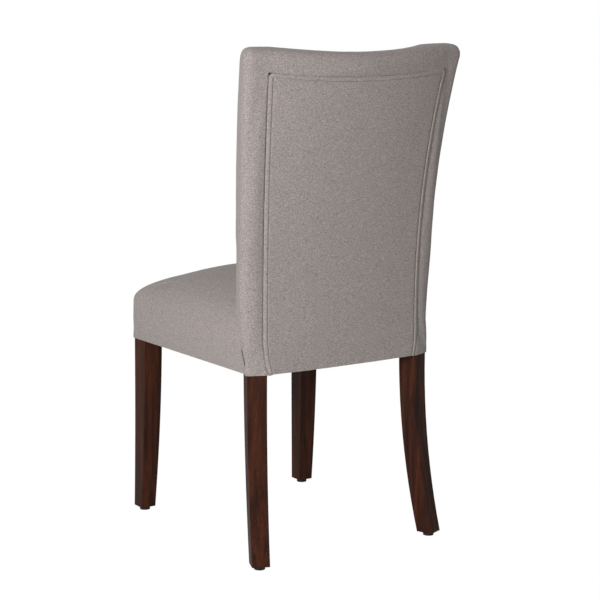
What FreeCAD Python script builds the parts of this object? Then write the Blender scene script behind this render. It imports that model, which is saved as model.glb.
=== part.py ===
import FreeCAD, Part
import math
import os
import Sketcher
from FreeCAD import Placement, Rotation, Vector

# Upholstered dining chair on four wooden legs, in millimetres.
# The front is -Y, the back is +Y, +X is the sitter's left, and Z = 0 is the floor.

doc = FreeCAD.newDocument("DiningChair")
sheet = doc.addObject("Spreadsheet::Sheet", "Sizes")

drivingSizes = {
    # stance
    "frontFace": 271.5,      # origin to the front legs' front face
    "hemHeight": 381,        # floor to the fabric's lower edge
    "clearance": 0.3,        # gap left round soft pieces
    # glides
    "glideHeight": 8,
    "glideRadius": 11,
    "nailRadius": 1.5,
    "nailLength": 16,
    # front legs
    "legOuter": 221,         # centre to the outer face
    "legTop": 44,
    "legFoot": 34.5,
    "legKick": 10.5,         # forward sweep of the foot
    "arris": 1.8,            # rounding of the long edges
    # rear legs, which run on upward as the back's posts
    "postAcross": 189.5,     # centre to the post's axis
    "postBack": 441,         # front legs' front face to the post's axis
    "postTurn": 21.4,        # the posts face outward by this angle
    "postSection": 40.2,
    "postFoot": 36,
    "footSweep": 46.5,       # backward sweep of the foot
    "postStep": 5.6,         # thinning of the post behind the seat
    "stepRise": 69,          # hem to the end of the thinning
    "sabreRise": 107,        # hem to the start of the backward curve
    "sabreRadius": 1974,
    "postDrop": 30,          # the back's top edge down to the post's end
    "postTip": 26,           # thickness of the post's upper end
    # seat frame
    "railHeight": 74,
    "railThick": 22,
    "railSet": 1.6,          # rails lie this far inside the legs' faces
    "blockHeight": 50,
    "blockThick": 24,
    "boltRadius": 3,
    "boltGrip": 24,          # length of the leg bolt inside the leg
    "boltTail": 12,          # length of the leg bolt inside the frame
    "washerRadius": 9,
    "washerThick": 1.6,
    "nutAcross": 10,
    "nutThick": 5,
    # back frame
    "crestDrop": 46,         # the post's end down to the crest rail's middle
    "crestHeight": 66,
    "lumbarRise": 72,        # start of the backward curve up to the lower rail's middle
    "lumbarHeight": 60,
    # webbing
    "webThick": 1.4,
    "webWidth": 50,
    "seatWebs": 4,
    "backWebs": 4,
    "webMargin": 12,         # rail to the nearest strap of the back
    "webTack": 8,            # post's outer face to a strap's end
    "webLap": 10,            # straps run on over the rear rail by this much
    # covers and padding
    "coverThick": 1.5,
    "panelGap": 2.3,         # wadding between the back's rails and its outer panel
    "skirtLift": 15,         # padding stops this far above the hem
    "flange": 14,            # fabric turned under the frame
    "dustThick": 0.8,
    # seat cushion
    "seatSwell": 7.5,        # fullest part of the sides, outside the legs
    "seatTaper": 13.5,       # each side draws in towards the back
    "seatCorner": 18,
    "seatTuck": 2.5,         # corner radius at the hem, over the square leg
    "seatEdgeRise": 87,      # hem to the height where the sides begin to round over
    "seatRound": 26,
    "seatBrowRise": 112,     # hem to the crown's front edge
    "seatCrownRise": 150,
    # back cushion
    "backTop": 1016,
    "backDip": 9,            # the top edge dips at its middle
    "backThick": 77,
    "bowBase": 9,
    "bowTop": 30,
    "frontBow": 13,
    "borderOut": 39,         # post's axis to the back's side
    "borderHem": 22.6,       # the same at the hem
    "borderWaist": 34.4,     # the same where the sabre curve starts
    "borderRise": 112,       # start of the backward curve up to the sides' full width
    "borderLag": 17.7,       # post's axis to the border's rear face
    "borderFore": 50,        # post's axis to the border's front edge
    "hemFlare": 5.8,
    "sideRound": 21,
    "topRound": 26,
    # welt
    "weltAcross": 16.4,      # post's axis inward to the welt
    "weltDrop": 55,          # the back's top edge down to the welt
    "weltDip": 11,
    "weltWidth": 8.5,
    "weltProud": 2.2,
    "weltCorner": 9,
    "weltTuck": 11,          # the welt runs inward to the hem
}

for row, (alias, number) in enumerate(drivingSizes.items(), start=1):
    sheet.set(f"A{row}", alias)
    sheet.set(f"B{row}", str(number))
    sheet.setAlias(f"B{row}", alias)
doc.recompute()

nodes = []


def size(alias):
    return getattr(sheet, alias)


def worth(text):
    result = sheet.evalExpression(str(text))
    return float(getattr(result, "Value", result))


def bind(thing, **expressions):
    for name, text in expressions.items():
        thing.setExpression(name.replace("_", "."), str(text))


# Expressions that several pieces share
stepHeight = "(Sizes.hemHeight + Sizes.stepRise)"
sabreStart = "(Sizes.hemHeight + Sizes.sabreRise)"
seatEdge = "(Sizes.hemHeight + Sizes.seatEdgeRise)"
seatBrow = "(Sizes.hemHeight + Sizes.seatBrowRise)"
seatCrown = "(Sizes.hemHeight + Sizes.seatCrownRise)"
postTop = "(Sizes.backTop - Sizes.postDrop)"
crestCentre = f"({postTop} - Sizes.crestDrop)"
lumbarCentre = f"({sabreStart} + Sizes.lumbarRise)"
borderFull = f"({sabreStart} + Sizes.borderRise)"
weltTop = "(Sizes.backTop - Sizes.weltDrop)"
railBase = "(Sizes.hemHeight + Sizes.coverThick)"
railTop = f"({railBase} + Sizes.railHeight)"
deckTop = f"({railTop} + 2 * Sizes.webThick)"
railOuter = "(Sizes.legOuter - Sizes.railSet)"
halfPost = "(Sizes.postSection / 2)"
postRear = f"({halfPost} - Sizes.postStep)"


def postPoint(across, out, side=1):
    """Plan point measured from a post's axis, across its face and out behind it."""
    turn = "Sizes.postTurn"
    x = f"{side} * (Sizes.postAcross + ({across}) * cos({turn}) + ({out}) * sin({turn}))"
    y = f"Sizes.postBack - ({across}) * sin({turn}) + ({out}) * cos({turn})"
    return x, y


# The back's rear face at its middle, which bows more than the posts sweep
weltPlan = postPoint("-Sizes.weltAcross", "Sizes.borderLag")
backTip = f"(Sizes.sabreRadius - sqrt(Sizes.sabreRadius ^ 2 - (Sizes.backTop - {sabreStart}) ^ 2))"
middleRise = f"(Sizes.backTop - Sizes.backDip - {sabreStart})"
middleTip = f"({backTip} * cos(Sizes.postTurn) + Sizes.bowTop - Sizes.bowBase)"
middleRadius = f"(({middleRise} ^ 2 + {middleTip} ^ 2) / (2 * {middleTip}))"
seatRear = "(Sizes.postBack - Sizes.postSection / 4)"
lining = "(Sizes.coverThick + Sizes.clearance + Sizes.panelGap)"


def middleRear(rise):
    """Rear face of the rails at the middle of the back, under the lining."""
    sweep = f"({middleRadius} - sqrt({middleRadius} ^ 2 - {rise} ^ 2))"
    return f"({weltPlan[1]} + Sizes.bowBase + {sweep} - {lining})"


def newBody(label):
    body = doc.addObject("PartDesign::Body", label)
    body.Label = label
    nodes.append(body)
    return body


def originPlane(body, role):
    return next(item for item in body.Origin.OriginFeatures if item.Role == role)


def sketchOn(body, plane, name, corners, mids=None):
    """Closed outline through corners, with an arc where mids gives its middle point."""
    mids = mids or {}
    sketch = body.newObject("Sketcher::SketchObject", name)
    sketch.AttachmentSupport = (originPlane(body, plane), [""])
    sketch.MapMode = "FlatFace"
    points = [Vector(worth(x), worth(y), 0) for x, y in corners]
    ends = []
    for index, start in enumerate(points):
        stop = points[(index + 1) % len(points)]
        if index not in mids:
            sketch.addGeometry(Part.LineSegment(start, stop), False)
            ends.append((1, 2))
            continue
        middle = Vector(*[worth(text) for text in mids[index]], 0)
        leftTurn = (middle - start).cross(stop - middle).z > 0
        first, last = (start, stop) if leftTurn else (stop, start)
        sketch.addGeometry(Part.Arc(first, middle, last), False)
        ends.append((1, 2) if leftTurn else (2, 1))
    for index in range(len(points)):
        following = (index + 1) % len(points)
        join = Sketcher.Constraint("Coincident", index, ends[index][1], following, ends[following][0])
        sketch.addConstraint(join)
    for index, (x, y) in enumerate(corners):
        place(sketch, index, ends[index][0], x, y, f"Corner{index}")
    for index, (x, y) in mids.items():
        spot = sketch.addGeometry(Part.Point(Vector(worth(x), worth(y), 0)), True)
        place(sketch, spot, 1, x, y, f"Mid{index}")
        sketch.addConstraint(Sketcher.Constraint("PointOnObject", spot, 1, index))
    return sketch


def place(sketch, geometry, end, x, y, label):
    for kind, text in (("DistanceX", x), ("DistanceY", y)):
        rule = sketch.addConstraint(Sketcher.Constraint(kind, -1, 1, geometry, end, worth(text)))
        name = label + kind[-1]
        sketch.renameConstraint(rule, name)
        sketch.setExpression(f"Constraints.{name}", str(text))


def circleOn(body, plane, name, x, y, radius):
    sketch = body.newObject("Sketcher::SketchObject", name)
    sketch.AttachmentSupport = (originPlane(body, plane), [""])
    sketch.MapMode = "FlatFace"
    circle = Part.Circle(Vector(worth(x), worth(y), 0), Vector(0, 0, 1), worth(radius))
    sketch.addGeometry(circle, False)
    place(sketch, 0, 3, x, y, "Centre")
    rule = sketch.addConstraint(Sketcher.Constraint("Radius", 0, worth(radius)))
    sketch.renameConstraint(rule, "Bore")
    sketch.setExpression("Constraints.Bore", str(radius))
    return sketch


def padFrom(body, sketch, length, centred=False, reverse=False):
    pad = body.newObject("PartDesign::Pad", "Pad")
    pad.Profile = sketch
    pad.SideType = "Symmetric" if centred else "One side"
    pad.Reversed = reverse
    pad.setExpression("Length", str(length))
    doc.recompute()
    return pad


def cutThrough(body, sketch, name, length, reverse=False, centred=False):
    """Cut that must remove something, so the volume is compared."""
    before = body.Shape.Volume
    cut = body.newObject("PartDesign::Pocket", name)
    cut.Profile = sketch
    cut.SideType = "Symmetric" if centred else "One side"
    cut.Reversed = reverse
    cut.setExpression("Length", str(length))
    doc.recompute()
    if body.Shape.Volume >= before:
        raise RuntimeError(f"{name} of {body.Label} cuts nothing")
    return cut


def roundLongEdges(body, radius, lowest, highest, length):
    """Round the edges that run up the piece between two heights."""
    picked = []
    for index, edge in enumerate(body.Shape.Edges, start=1):
        heights = [vertex.Point.z for vertex in edge.Vertexes]
        inside = min(heights) > lowest - 1 and max(heights) < highest + 1
        if inside and max(heights) - min(heights) > length:
            picked.append(f"Edge{index}")
    carrier = body.Tip
    rounding = body.newObject("PartDesign::Chamfer", "Arris")
    rounding.Base = (carrier, picked)
    rounding.setExpression("Size", str(radius))
    doc.recompute()
    return rounding


def turnAboutZ(thing, angle):
    thing.Placement = Placement(Vector(), Rotation(Vector(0, 0, 1), 10))
    thing.setExpression("Placement.Rotation.Angle", angle)


def sideName(side):
    return "left" if side > 0 else "right"


# Foot centres, from the front legs' front face
frontFootX = "(Sizes.legOuter - Sizes.legFoot / 2)"
frontFootY = "(Sizes.legFoot / 2 - Sizes.legKick)"
rearFootX, rearFootY = postPoint("0", "Sizes.footSweep")


def makeFrontLeg(side):
    """Square leg: the outer face is upright, the foot kicks forward and the inner faces taper."""
    body = newBody(f"front_leg_{sideName(side)}")
    middle = "(Sizes.glideHeight + Sizes.hemHeight) / 2"
    corners = [
        ("-Sizes.legKick", "Sizes.glideHeight"),
        ("Sizes.legFoot - Sizes.legKick", "Sizes.glideHeight"),
        ("Sizes.legTop", "Sizes.hemHeight"),
        ("Sizes.legTop", railTop),
        ("0", railTop),
        ("0", "Sizes.hemHeight"),
    ]
    mids = {
        1: ("Sizes.legTop - (Sizes.legTop - Sizes.legFoot + Sizes.legKick) * 0.3", middle),
        5: ("-Sizes.legKick * 0.3", middle),
    }
    profile = sketchOn(body, "YZ_Plane", "SideView", corners, mids)
    padFrom(body, profile, "Sizes.legTop", reverse=side > 0)
    inner = f"{-side} * Sizes.legTop"
    wedge = [
        (f"{-side} * Sizes.legFoot", "Sizes.glideHeight"),
        (f"{-side} * (Sizes.legTop + 1)", "Sizes.glideHeight"),
        (inner, "Sizes.hemHeight"),
    ]
    bend = {2: (f"{-side} * (Sizes.legTop - (Sizes.legTop - Sizes.legFoot) * 0.4)", middle)}
    taper = sketchOn(body, "XZ_Plane", "InnerTaper", wedge, bend)
    cutThrough(body, taper, "InnerCut", "Sizes.legTop * 4", centred=True)
    roundLongEdges(body, "Sizes.arris", size("glideHeight"), size("hemHeight"), 300)
    nailX = f"{-side} * Sizes.legFoot / 2"
    nail = circleOn(body, "XY_Plane", "NailHole", nailX, frontFootY, "Sizes.nailRadius")
    cutThrough(body, nail, "NailBore", "Sizes.glideHeight + Sizes.nailLength", reverse=True)
    bind(body, Placement_Base_x=f"{side} * Sizes.legOuter", Placement_Base_y="-Sizes.frontFace")
    return body


def makeRearLeg(side):
    """Sabre leg and back post in one piece, sawn in a plane that is turned outward."""
    body = newBody(f"rear_leg_{sideName(side)}")
    lowMiddle = "(Sizes.glideHeight + Sizes.hemHeight) / 2"
    highMiddle = f"({sabreStart} + {postTop}) / 2"
    rise = f"({postTop} - {sabreStart})"
    tipSweep = f"(Sizes.sabreRadius - sqrt(Sizes.sabreRadius ^ 2 - {rise} ^ 2))"
    midSweep = f"(Sizes.sabreRadius - sqrt(Sizes.sabreRadius ^ 2 - {rise} ^ 2 / 4))"
    midThick = f"(({halfPost} + {postRear} + Sizes.postTip) / 2)"
    lowHalf = "(Sizes.postSection + Sizes.postFoot) / 4"
    leg = [
        ("Sizes.footSweep - Sizes.postFoot / 2", "Sizes.glideHeight"),
        ("Sizes.footSweep + Sizes.postFoot / 2", "Sizes.glideHeight"),
        (halfPost, "Sizes.hemHeight"),
        (f"-{halfPost}", "Sizes.hemHeight"),
    ]
    legMids = {
        1: (f"Sizes.footSweep * 0.25 + {lowHalf}", lowMiddle),
        3: (f"Sizes.footSweep * 0.25 - {lowHalf}", lowMiddle),
    }
    post = [
        (halfPost, "Sizes.hemHeight"),
        (postRear, stepHeight),
        (postRear, sabreStart),
        (f"{postRear} + {tipSweep}", postTop),
        (f"{postRear} + {tipSweep} - Sizes.postTip", postTop),
        (f"-{halfPost}", sabreStart),
        (f"-{halfPost}", "Sizes.hemHeight"),
    ]
    postMids = {
        2: (f"{postRear} + {midSweep}", highMiddle),
        4: (f"{postRear} + {midSweep} - {midThick}", highMiddle),
    }
    padFrom(body, sketchOn(body, "XZ_Plane", "LegView", leg, legMids), "Sizes.postSection", centred=True)
    for edge in (1, -1):
        wedge = [
            (f"{edge} * Sizes.postFoot / 2", "Sizes.glideHeight"),
            (f"{edge} * (Sizes.postSection / 2 + 1)", "Sizes.glideHeight"),
            (f"{edge} * Sizes.postSection / 2", "Sizes.hemHeight"),
        ]
        taper = sketchOn(body, "YZ_Plane", f"Taper{'A' if edge > 0 else 'B'}", wedge)
        cutThrough(body, taper, f"Cut{'A' if edge > 0 else 'B'}", "Sizes.postSection * 8", centred=True)
    roundLongEdges(body, "Sizes.arris", size("glideHeight"), size("hemHeight"), 300)
    padFrom(body, sketchOn(body, "XZ_Plane", "PostView", post, postMids), "Sizes.postSection", centred=True)
    nail = circleOn(body, "XY_Plane", "NailHole", "Sizes.footSweep", "0", "Sizes.nailRadius")
    cutThrough(body, nail, "NailBore", "Sizes.glideHeight + Sizes.nailLength", reverse=True)
    turnAboutZ(body, f"90 - {side} * Sizes.postTurn")
    bind(
        body,
        Placement_Base_x=f"{side} * Sizes.postAcross",
        Placement_Base_y="Sizes.postBack - Sizes.frontFace",
    )
    return body


def makeGlide(label, x, y):
    """Moulded disc and the nail that holds it."""
    body = newBody(label)
    corners = [
        ("0", "0"),
        ("Sizes.glideRadius", "0"),
        ("Sizes.glideRadius", "Sizes.glideHeight"),
        ("Sizes.nailRadius", "Sizes.glideHeight"),
        ("Sizes.nailRadius", "Sizes.glideHeight + Sizes.nailLength"),
        ("0", "Sizes.glideHeight + Sizes.nailLength"),
    ]
    profile = sketchOn(body, "XZ_Plane", "Profile", corners)
    turning = body.newObject("PartDesign::Revolution", "Turning")
    turning.Profile = profile
    turning.ReferenceAxis = (profile, ["V_Axis"])
    turning.Angle = 360
    bind(body, Placement_Base_x=x, Placement_Base_y=f"{y} - Sizes.frontFace")
    doc.recompute()
    return body


for side in (1, -1):
    makeFrontLeg(side)
    makeRearLeg(side)
    makeGlide(f"glide_front_{sideName(side)}", f"{side} * {frontFootX}", frontFootY)
    makeGlide(f"glide_rear_{sideName(side)}", f"{side} * ({rearFootX})", rearFootY)


def seatOnFrame(body):
    bind(body, Placement_Base_y="-Sizes.frontFace", Placement_Base_z=railBase)


# Plan corners of the seat frame, from the front legs' front face
sideRear = postPoint(f"{halfPost} - Sizes.railSet", f"-{halfPost}")
sideEnd = f"{halfPost} - Sizes.railSet - Sizes.railThick / cos(Sizes.postTurn)"
sideRearInner = postPoint(sideEnd, f"-{halfPost}")
rearEnd = postPoint(f"-{halfPost}", f"Sizes.borderLag - {lining}")
rearFace = middleRear("0")
rearInner = f"({rearFace} - Sizes.railThick)"
rearRun = f"(({rearInner} - Sizes.postBack - {halfPost} * sin(Sizes.postTurn)) / cos(Sizes.postTurn))"
rearInnerEnd = postPoint(f"-{halfPost}", rearRun)


def makeFrontRail():
    rail = doc.addObject("Part::Box", "front_rail")
    rail.Label = "front_rail"
    bind(
        rail,
        Length="2 * (Sizes.legOuter - Sizes.legTop)",
        Width="Sizes.railThick",
        Height="Sizes.railHeight",
        Placement_Base_x="Sizes.legTop - Sizes.legOuter",
        Placement_Base_y="Sizes.railSet - Sizes.frontFace",
        Placement_Base_z=railBase,
    )
    nodes.append(rail)


def makeSideRail(side):
    """Rail from the front leg's rear face to the turned face of the post."""
    body = newBody(f"side_rail_{sideName(side)}")
    corners = [
        (f"{side} * {railOuter}", "Sizes.legTop"),
        (f"{side} * ({sideRear[0]})", sideRear[1]),
        (f"{side} * ({sideRearInner[0]})", sideRearInner[1]),
        (f"{side} * ({railOuter} - Sizes.railThick)", "Sizes.legTop"),
    ]
    padFrom(body, sketchOn(body, "XY_Plane", "Plan", corners), "Sizes.railHeight")
    seatOnFrame(body)


def makeRearRail():
    """Rail between the posts, sawn to a bow on its rear face."""
    body = newBody("rear_rail")
    corners = [
        rearEnd,
        (f"-1 * ({rearEnd[0]})", rearEnd[1]),
        (f"-1 * ({rearInnerEnd[0]})", rearInnerEnd[1]),
        rearInnerEnd,
    ]
    padFrom(body, sketchOn(body, "XY_Plane", "Plan", corners, {0: ("0", rearFace)}), "Sizes.railHeight")
    seatOnFrame(body)


makeFrontRail()
makeRearRail()
for side in (1, -1):
    makeSideRail(side)


def plan(point):
    return Vector(worth(point[0]), worth(point[1]), 0)


def cornerFrame(side, rear):
    """Meeting point of two rails' inner faces, the line that halves it and the leg's corner."""
    outer = Vector(side * worth(f"{railOuter} - Sizes.railThick"), size("legTop"), 0)
    inner = plan((f"{side} * ({sideRearInner[0]})", sideRearInner[1]))
    along = (inner - outer).normalize()
    level = worth(rearInner) if rear else size("railSet") + size("railThick")
    meeting = outer + along * ((level - outer.y) / along.y)
    down = along * (-1 if rear else 1)
    across = Vector(-side, 0, 0)
    half = math.degrees(down.getAngle(across)) / 2
    inward = (down + across).normalize()
    if rear:
        leg = plan(postPoint(f"-{halfPost}", f"-{halfPost}", side))
    else:
        leg = Vector(side * (size("legOuter") - size("legTop")), size("legTop"), 0)
    return meeting, inward, half, (leg - meeting).dot(inward)


def makeCorner(side, rear):
    """Diagonal block across a corner of the frame, bored for the bolt into the leg."""
    label = f"corner_block_{'rear' if rear else 'front'}_{sideName(side)}"
    meeting, inward, half, reach = cornerFrame(side, rear)
    near = reach + size("clearance")
    spread = math.tan(math.radians(half))
    far = near + size("blockThick")
    low = worth(railBase) + (size("railHeight") - size("blockHeight")) / 2
    corners = [(near, -near * spread), (far, -far * spread), (far, far * spread), (near, near * spread)]
    wire = Part.makePolygon([Vector(x, y, 0) for x, y in corners + corners[:1]])
    block = Part.Face(wire).extrude(Vector(0, 0, size("blockHeight")))
    height = size("blockHeight") / 2
    bolt = Part.makeCylinder(size("boltRadius"), far + size("boltTail") - reach + size("boltGrip"),
                             Vector(reach - size("boltGrip"), 0, height), Vector(1, 0, 0))
    block = block.cut(Part.makeCylinder(size("boltRadius") + size("clearance"), 4 * far,
                                        Vector(-far, 0, height), Vector(1, 0, 0)))
    seat = Vector(far, 0, height)
    washer = Part.makeCylinder(size("washerRadius"), size("washerThick"), seat, Vector(1, 0, 0))
    washer = washer.cut(Part.makeCylinder(size("boltRadius") + size("clearance"), 4 * far,
                                          Vector(0, 0, height), Vector(1, 0, 0)))
    corner = size("nutAcross") / math.sqrt(3)
    hexagon = [Vector(far + size("washerThick"), corner * math.cos(turn), height + corner * math.sin(turn))
               for turn in [math.radians(60 * step) for step in range(7)]]
    nut = Part.Face(Part.makePolygon(hexagon)).extrude(Vector(size("nutThick"), 0, 0))
    nut = nut.cut(bolt)
    spot = Placement(meeting + Vector(0, -size("frontFace"), low), Rotation(Vector(1, 0, 0), inward))
    return label, spot, {"block": block, "bolt": bolt, "washer": washer, "nut": nut}


def feature(label, shape, spot=None):
    thing = doc.addObject("Part::Feature", label)
    thing.Label = label
    thing.Shape = shape
    thing.Placement = spot or Placement()
    nodes.append(thing)
    return thing


hardware = {"bolt": [], "washer": [], "nut": []}
for side in (1, -1):
    for rear in (False, True):
        label, spot, pieces = makeCorner(side, rear)
        feature(label, pieces["block"], spot)
        for name in hardware:
            hardware[name].append(pieces[name].transformed(spot.toMatrix()))
for name, label in (("bolt", "leg_bolts"), ("washer", "leg_washers"), ("nut", "leg_nuts")):
    feature(label, Part.makeCompound(hardware[name]))


def boreLegs():
    """Bolt holes in the legs, as cuts of each leg's own body."""
    for side in (1, -1):
        for rear, stem in ((False, "front_leg"), (True, "rear_leg")):
            body = next(item for item in nodes if item.Label == f"{stem}_{sideName(side)}")
            meeting, inward, half, reach = cornerFrame(side, rear)
            low = worth(railBase) + size("railHeight") / 2
            hole = doc.addObject("Part::Cylinder", f"hole_{body.Label}")
            hole.Radius = size("boltRadius")
            hole.setExpression("Radius", "Sizes.boltRadius")
            hole.Height = size("boltGrip")
            start = meeting + inward * (reach - size("boltGrip")) + Vector(0, -size("frontFace"), low)
            hole.Placement = Placement(start, Rotation(Vector(0, 0, 1), inward))
            bored = doc.addObject("Part::Cut", f"bored_{body.Label}")
            bored.Base = body
            bored.Tool = hole
            label = body.Label
            body.Label = f"{label}_blank"
            bored.Label = label
            nodes[nodes.index(body)] = bored


boreLegs()


def makeBackRail(label, centre, height):
    """Leaning rail with a bow, turned about the bow's own centre and cut off at the posts."""
    body = newBody(label)
    rise = f"({centre} - {sabreStart})"
    sweep = f"(Sizes.sabreRadius - sqrt(Sizes.sabreRadius ^ 2 - {rise} ^ 2))"
    end = postPoint(f"-{halfPost}", f"{postRear} + {sweep} - Sizes.panelGap")
    bow = f"({middleRear(rise)} - ({end[1]}))"
    chord = f"({end[0]})"
    radius = f"(({chord} ^ 2 + {bow} ^ 2) / (2 * {bow}))"
    lean = f"asin({rise} / ((Sizes.sabreRadius + {middleRadius}) / 2))"
    corners = []
    for up, inward in ((-1, 0), (1, 0), (1, 1), (-1, 1)):
        corners.append((
            f"{radius} + {up} * {height} / 2 * sin({lean}) - {inward} * Sizes.railThick * cos({lean})",
            f"{up} * {height} / 2 * cos({lean}) + {inward} * Sizes.railThick * sin({lean})",
        ))
    profile = sketchOn(body, "YZ_Plane", "Section", corners)
    turning = body.newObject("PartDesign::Revolution", "Bow")
    turning.Profile = profile
    turning.ReferenceAxis = (profile, ["V_Axis"])
    turning.Midplane = True
    turning.setExpression("Angle", f"2 * asin(({chord} + Sizes.railThick) / {radius})")
    doc.recompute()
    axis = f"({end[1]} + {bow} - {radius})"
    for side in (1, -1):
        ends = [postPoint(across, out, side) for across, out in (
            (f"-{halfPost}", "-2 * Sizes.backThick"), (f"-{halfPost}", "2 * Sizes.backThick"),
            ("Sizes.legOuter", "2 * Sizes.backThick"), ("Sizes.legOuter", "-2 * Sizes.backThick"))]
        trim = sketchOn(body, "XY_Plane", f"Trim{sideName(side)}", [(x, f"{y} - {axis}") for x, y in ends])
        cutThrough(body, trim, f"Cut{sideName(side)}", f"{height} * 4", centred=True)
    bind(body, Placement_Base_y=f"{axis} - Sizes.frontFace", Placement_Base_z=centre)


makeBackRail("crest_rail", crestCentre, "Sizes.crestHeight")
makeBackRail("lumbar_rail", lumbarCentre, "Sizes.lumbarHeight")


def strap(length, width, corner):
    band = Part.makeBox(length, width, size("webThick"))
    band.translate(corner)
    return band


def makeSeatWebbing():
    """Straps along the seat on the rails, and straps across on top of them."""
    width = size("webWidth")
    count = int(size("seatWebs"))
    front = size("railSet") - size("frontFace")
    rear = worth(rearInner) + size("webLap") - size("frontFace")
    inner = worth(postPoint(f"-{halfPost}", f"-{halfPost}")[0])
    low = worth(railTop)
    pitch = 2 * (inner - width / 2 - size("webTack")) / (count - 1)
    along = [strap(width, rear - front, Vector(pitch * (step - (count - 1) / 2) - width / 2, front, low))
             for step in range(count)]
    feature("webbing_lengthwise", Part.makeCompound(along))
    start = size("legTop") + size("webMargin") - size("frontFace")
    stop = worth(sideRear[1]) - size("frontFace") - worth(f"{halfPost} + Sizes.backThick * 0.7")
    reach = worth(sideRear[0]) - size("railSet")
    across = [strap(2 * reach, width, Vector(-reach, start + (stop - width - start) * step / (count - 1),
                                             low + size("webThick"))) for step in range(count)]
    feature("webbing_crosswise", Part.makeCompound(across))


makeSeatWebbing()


def sabre(height):
    """Backward sweep of the back at a height, nothing below where the curve starts."""
    rise = max(height - worth(sabreStart), 0)
    return size("sabreRadius") - math.sqrt(size("sabreRadius") ** 2 - rise ** 2)


def postFrontSweep(height):
    """Offset of a post's front face: an arc through its start, middle and upper end."""
    start = Vector(-worth(halfPost), worth(sabreStart), 0)
    tip = Vector(worth(postRear) + sabre(worth(postTop)) - size("postTip"), worth(postTop), 0)
    middleHeight = (worth(sabreStart) + worth(postTop)) / 2
    thick = (worth(halfPost) + worth(postRear) + size("postTip")) / 2
    middle = Vector(worth(postRear) + sabre(middleHeight) - thick, middleHeight, 0)
    arc = Part.Arc(start, middle, tip)
    level = Part.Line(Vector(0, height, 0), Vector(1, height, 0))
    hits = [Vector(hit.X, hit.Y, hit.Z) for hit in arc.intersect(level)]
    return hits[0].x


def postVector(across, out, height, side=1):
    """Space point measured from a post's axis."""
    turn = math.radians(size("postTurn"))
    x = size("postAcross") + across * math.cos(turn) + out * math.sin(turn)
    y = size("postBack") - across * math.sin(turn) + out * math.cos(turn)
    return Vector(side * x, y - size("frontFace"), height)


def makeBackWebbing():
    """Straps across the posts' front faces, bent at the posts' inner corners."""
    half = worth(halfPost)
    gap = size("clearance")
    count = int(size("backWebs"))
    width = size("webWidth")
    lowest = worth(lumbarCentre) + size("lumbarHeight") / 2 + size("webMargin") + width / 2
    highest = worth(crestCentre) - size("crestHeight") / 2 - size("webMargin") - width / 2
    reach = half - size("webTack")
    straps = []
    for step in range(count):
        wires = []
        for edge in (-0.5, 0.5):
            height = lowest + (highest - lowest) * step / (count - 1) + edge * width
            out = postFrontSweep(height) - gap
            thick = size("webThick")
            right = [postVector(reach, out, height), postVector(-half, out, height)]
            right += [postVector(-half, out - thick, height), postVector(reach, out - thick, height)]
            left = [Vector(-point.x, point.y, point.z) for point in right]
            ring = [right[0], right[1], left[1], left[0], left[3], left[2], right[2], right[3], right[0]]
            wires.append(Part.makePolygon(ring))
        straps.append(Part.makeLoft(wires, True, True))
    feature("back_webbing", Part.makeCompound(straps))


makeBackWebbing()


# Reach of the blocks that only cut, past everything that they cut, and past a face that they cut open
beyond = size("backTop")
overshoot = 5


def roundCorner(start, corner, stop):
    """Arc that rounds the corner between two edges that meet there at about a right angle."""
    chord = (start + stop) * 0.5
    share = math.sqrt(2) - 1
    return Part.Arc(start, chord + (corner - chord) * share, stop).toShape()


def line(start, stop):
    return Part.LineSegment(start, stop).toShape()


def bend(start, middle, stop):
    """Arc through three points, or the straight edge where they lie in line."""
    if (middle - start).cross(stop - middle).Length < 1e-6:
        return line(start, stop)
    return Part.Arc(start, middle, stop).toShape()


def smoothForm(wires):
    """Solid that runs through its sections."""
    return Part.makeLoft(wires, True, True)


def seatContour(inset, roll, radius, height):
    """Rounded outline of the cushion's sides at one height."""
    radius = max(radius - inset, 0.8)
    wide = size("legOuter") + size("seatSwell") - inset - roll
    front = -size("seatSwell") + inset + roll
    rear = worth(seatRear)
    slope = -size("seatTaper") / (rear - front)
    shift = Vector(0, -size("frontFace"), height)
    corners = {
        "side": Vector(wide + slope * radius, front + radius, 0),
        "nose": Vector(wide - radius, front, 0),
        "tip": Vector(wide, front, 0),
        "rear": Vector(wide - size("seatTaper"), rear, 0),
    }
    right = {name: point + shift for name, point in corners.items()}
    left = {name: Vector(-point.x, point.y, point.z) for name, point in right.items()}
    return Part.Wire([
        roundCorner(left["nose"], left["tip"], left["side"]),
        line(left["side"], left["rear"]),
        line(left["rear"], right["rear"]),
        line(right["rear"], right["side"]),
        roundCorner(right["side"], right["tip"], right["nose"]),
        line(right["nose"], left["nose"]),
    ])


def seatArch(inset, share):
    """Section across the cushion's top, from the front edge at 0 to the rear at 1."""
    front = -size("seatSwell") + inset
    rear = worth(seatRear)
    edge = worth(seatEdge)
    over = size("seatRound")
    wide = size("legOuter") + size("seatSwell") - inset - size("seatTaper") * share
    y = front + (rear - front) * share - size("frontFace")
    low = size("hemHeight") - over
    turn = math.pi / 2 * min(max(share, 0) / 0.55, 1)
    crown = worth(seatBrow) + (worth(seatCrown) - worth(seatBrow)) * math.sin(turn) - inset
    outer = wide + over * 0.08

    def at(x, z):
        return Vector(x, y, z)

    foot = edge - over * 0.4
    cheek = (outer - over * 0.2, edge + over * 0.42 - inset)
    shoulder = (outer - over * 0.95, edge + over * 0.92 - inset)
    return Part.Wire([
        line(at(-outer, low), at(-outer, foot)),
        bend(at(-outer, foot), at(-cheek[0], cheek[1]), at(-shoulder[0], shoulder[1])),
        bend(at(-shoulder[0], shoulder[1]), at(0, crown), at(*shoulder)),
        bend(at(*shoulder), at(*cheek), at(outer, foot)),
        line(at(outer, foot), at(outer, low)),
        line(at(outer, low), at(-outer, low)),
    ])


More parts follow.
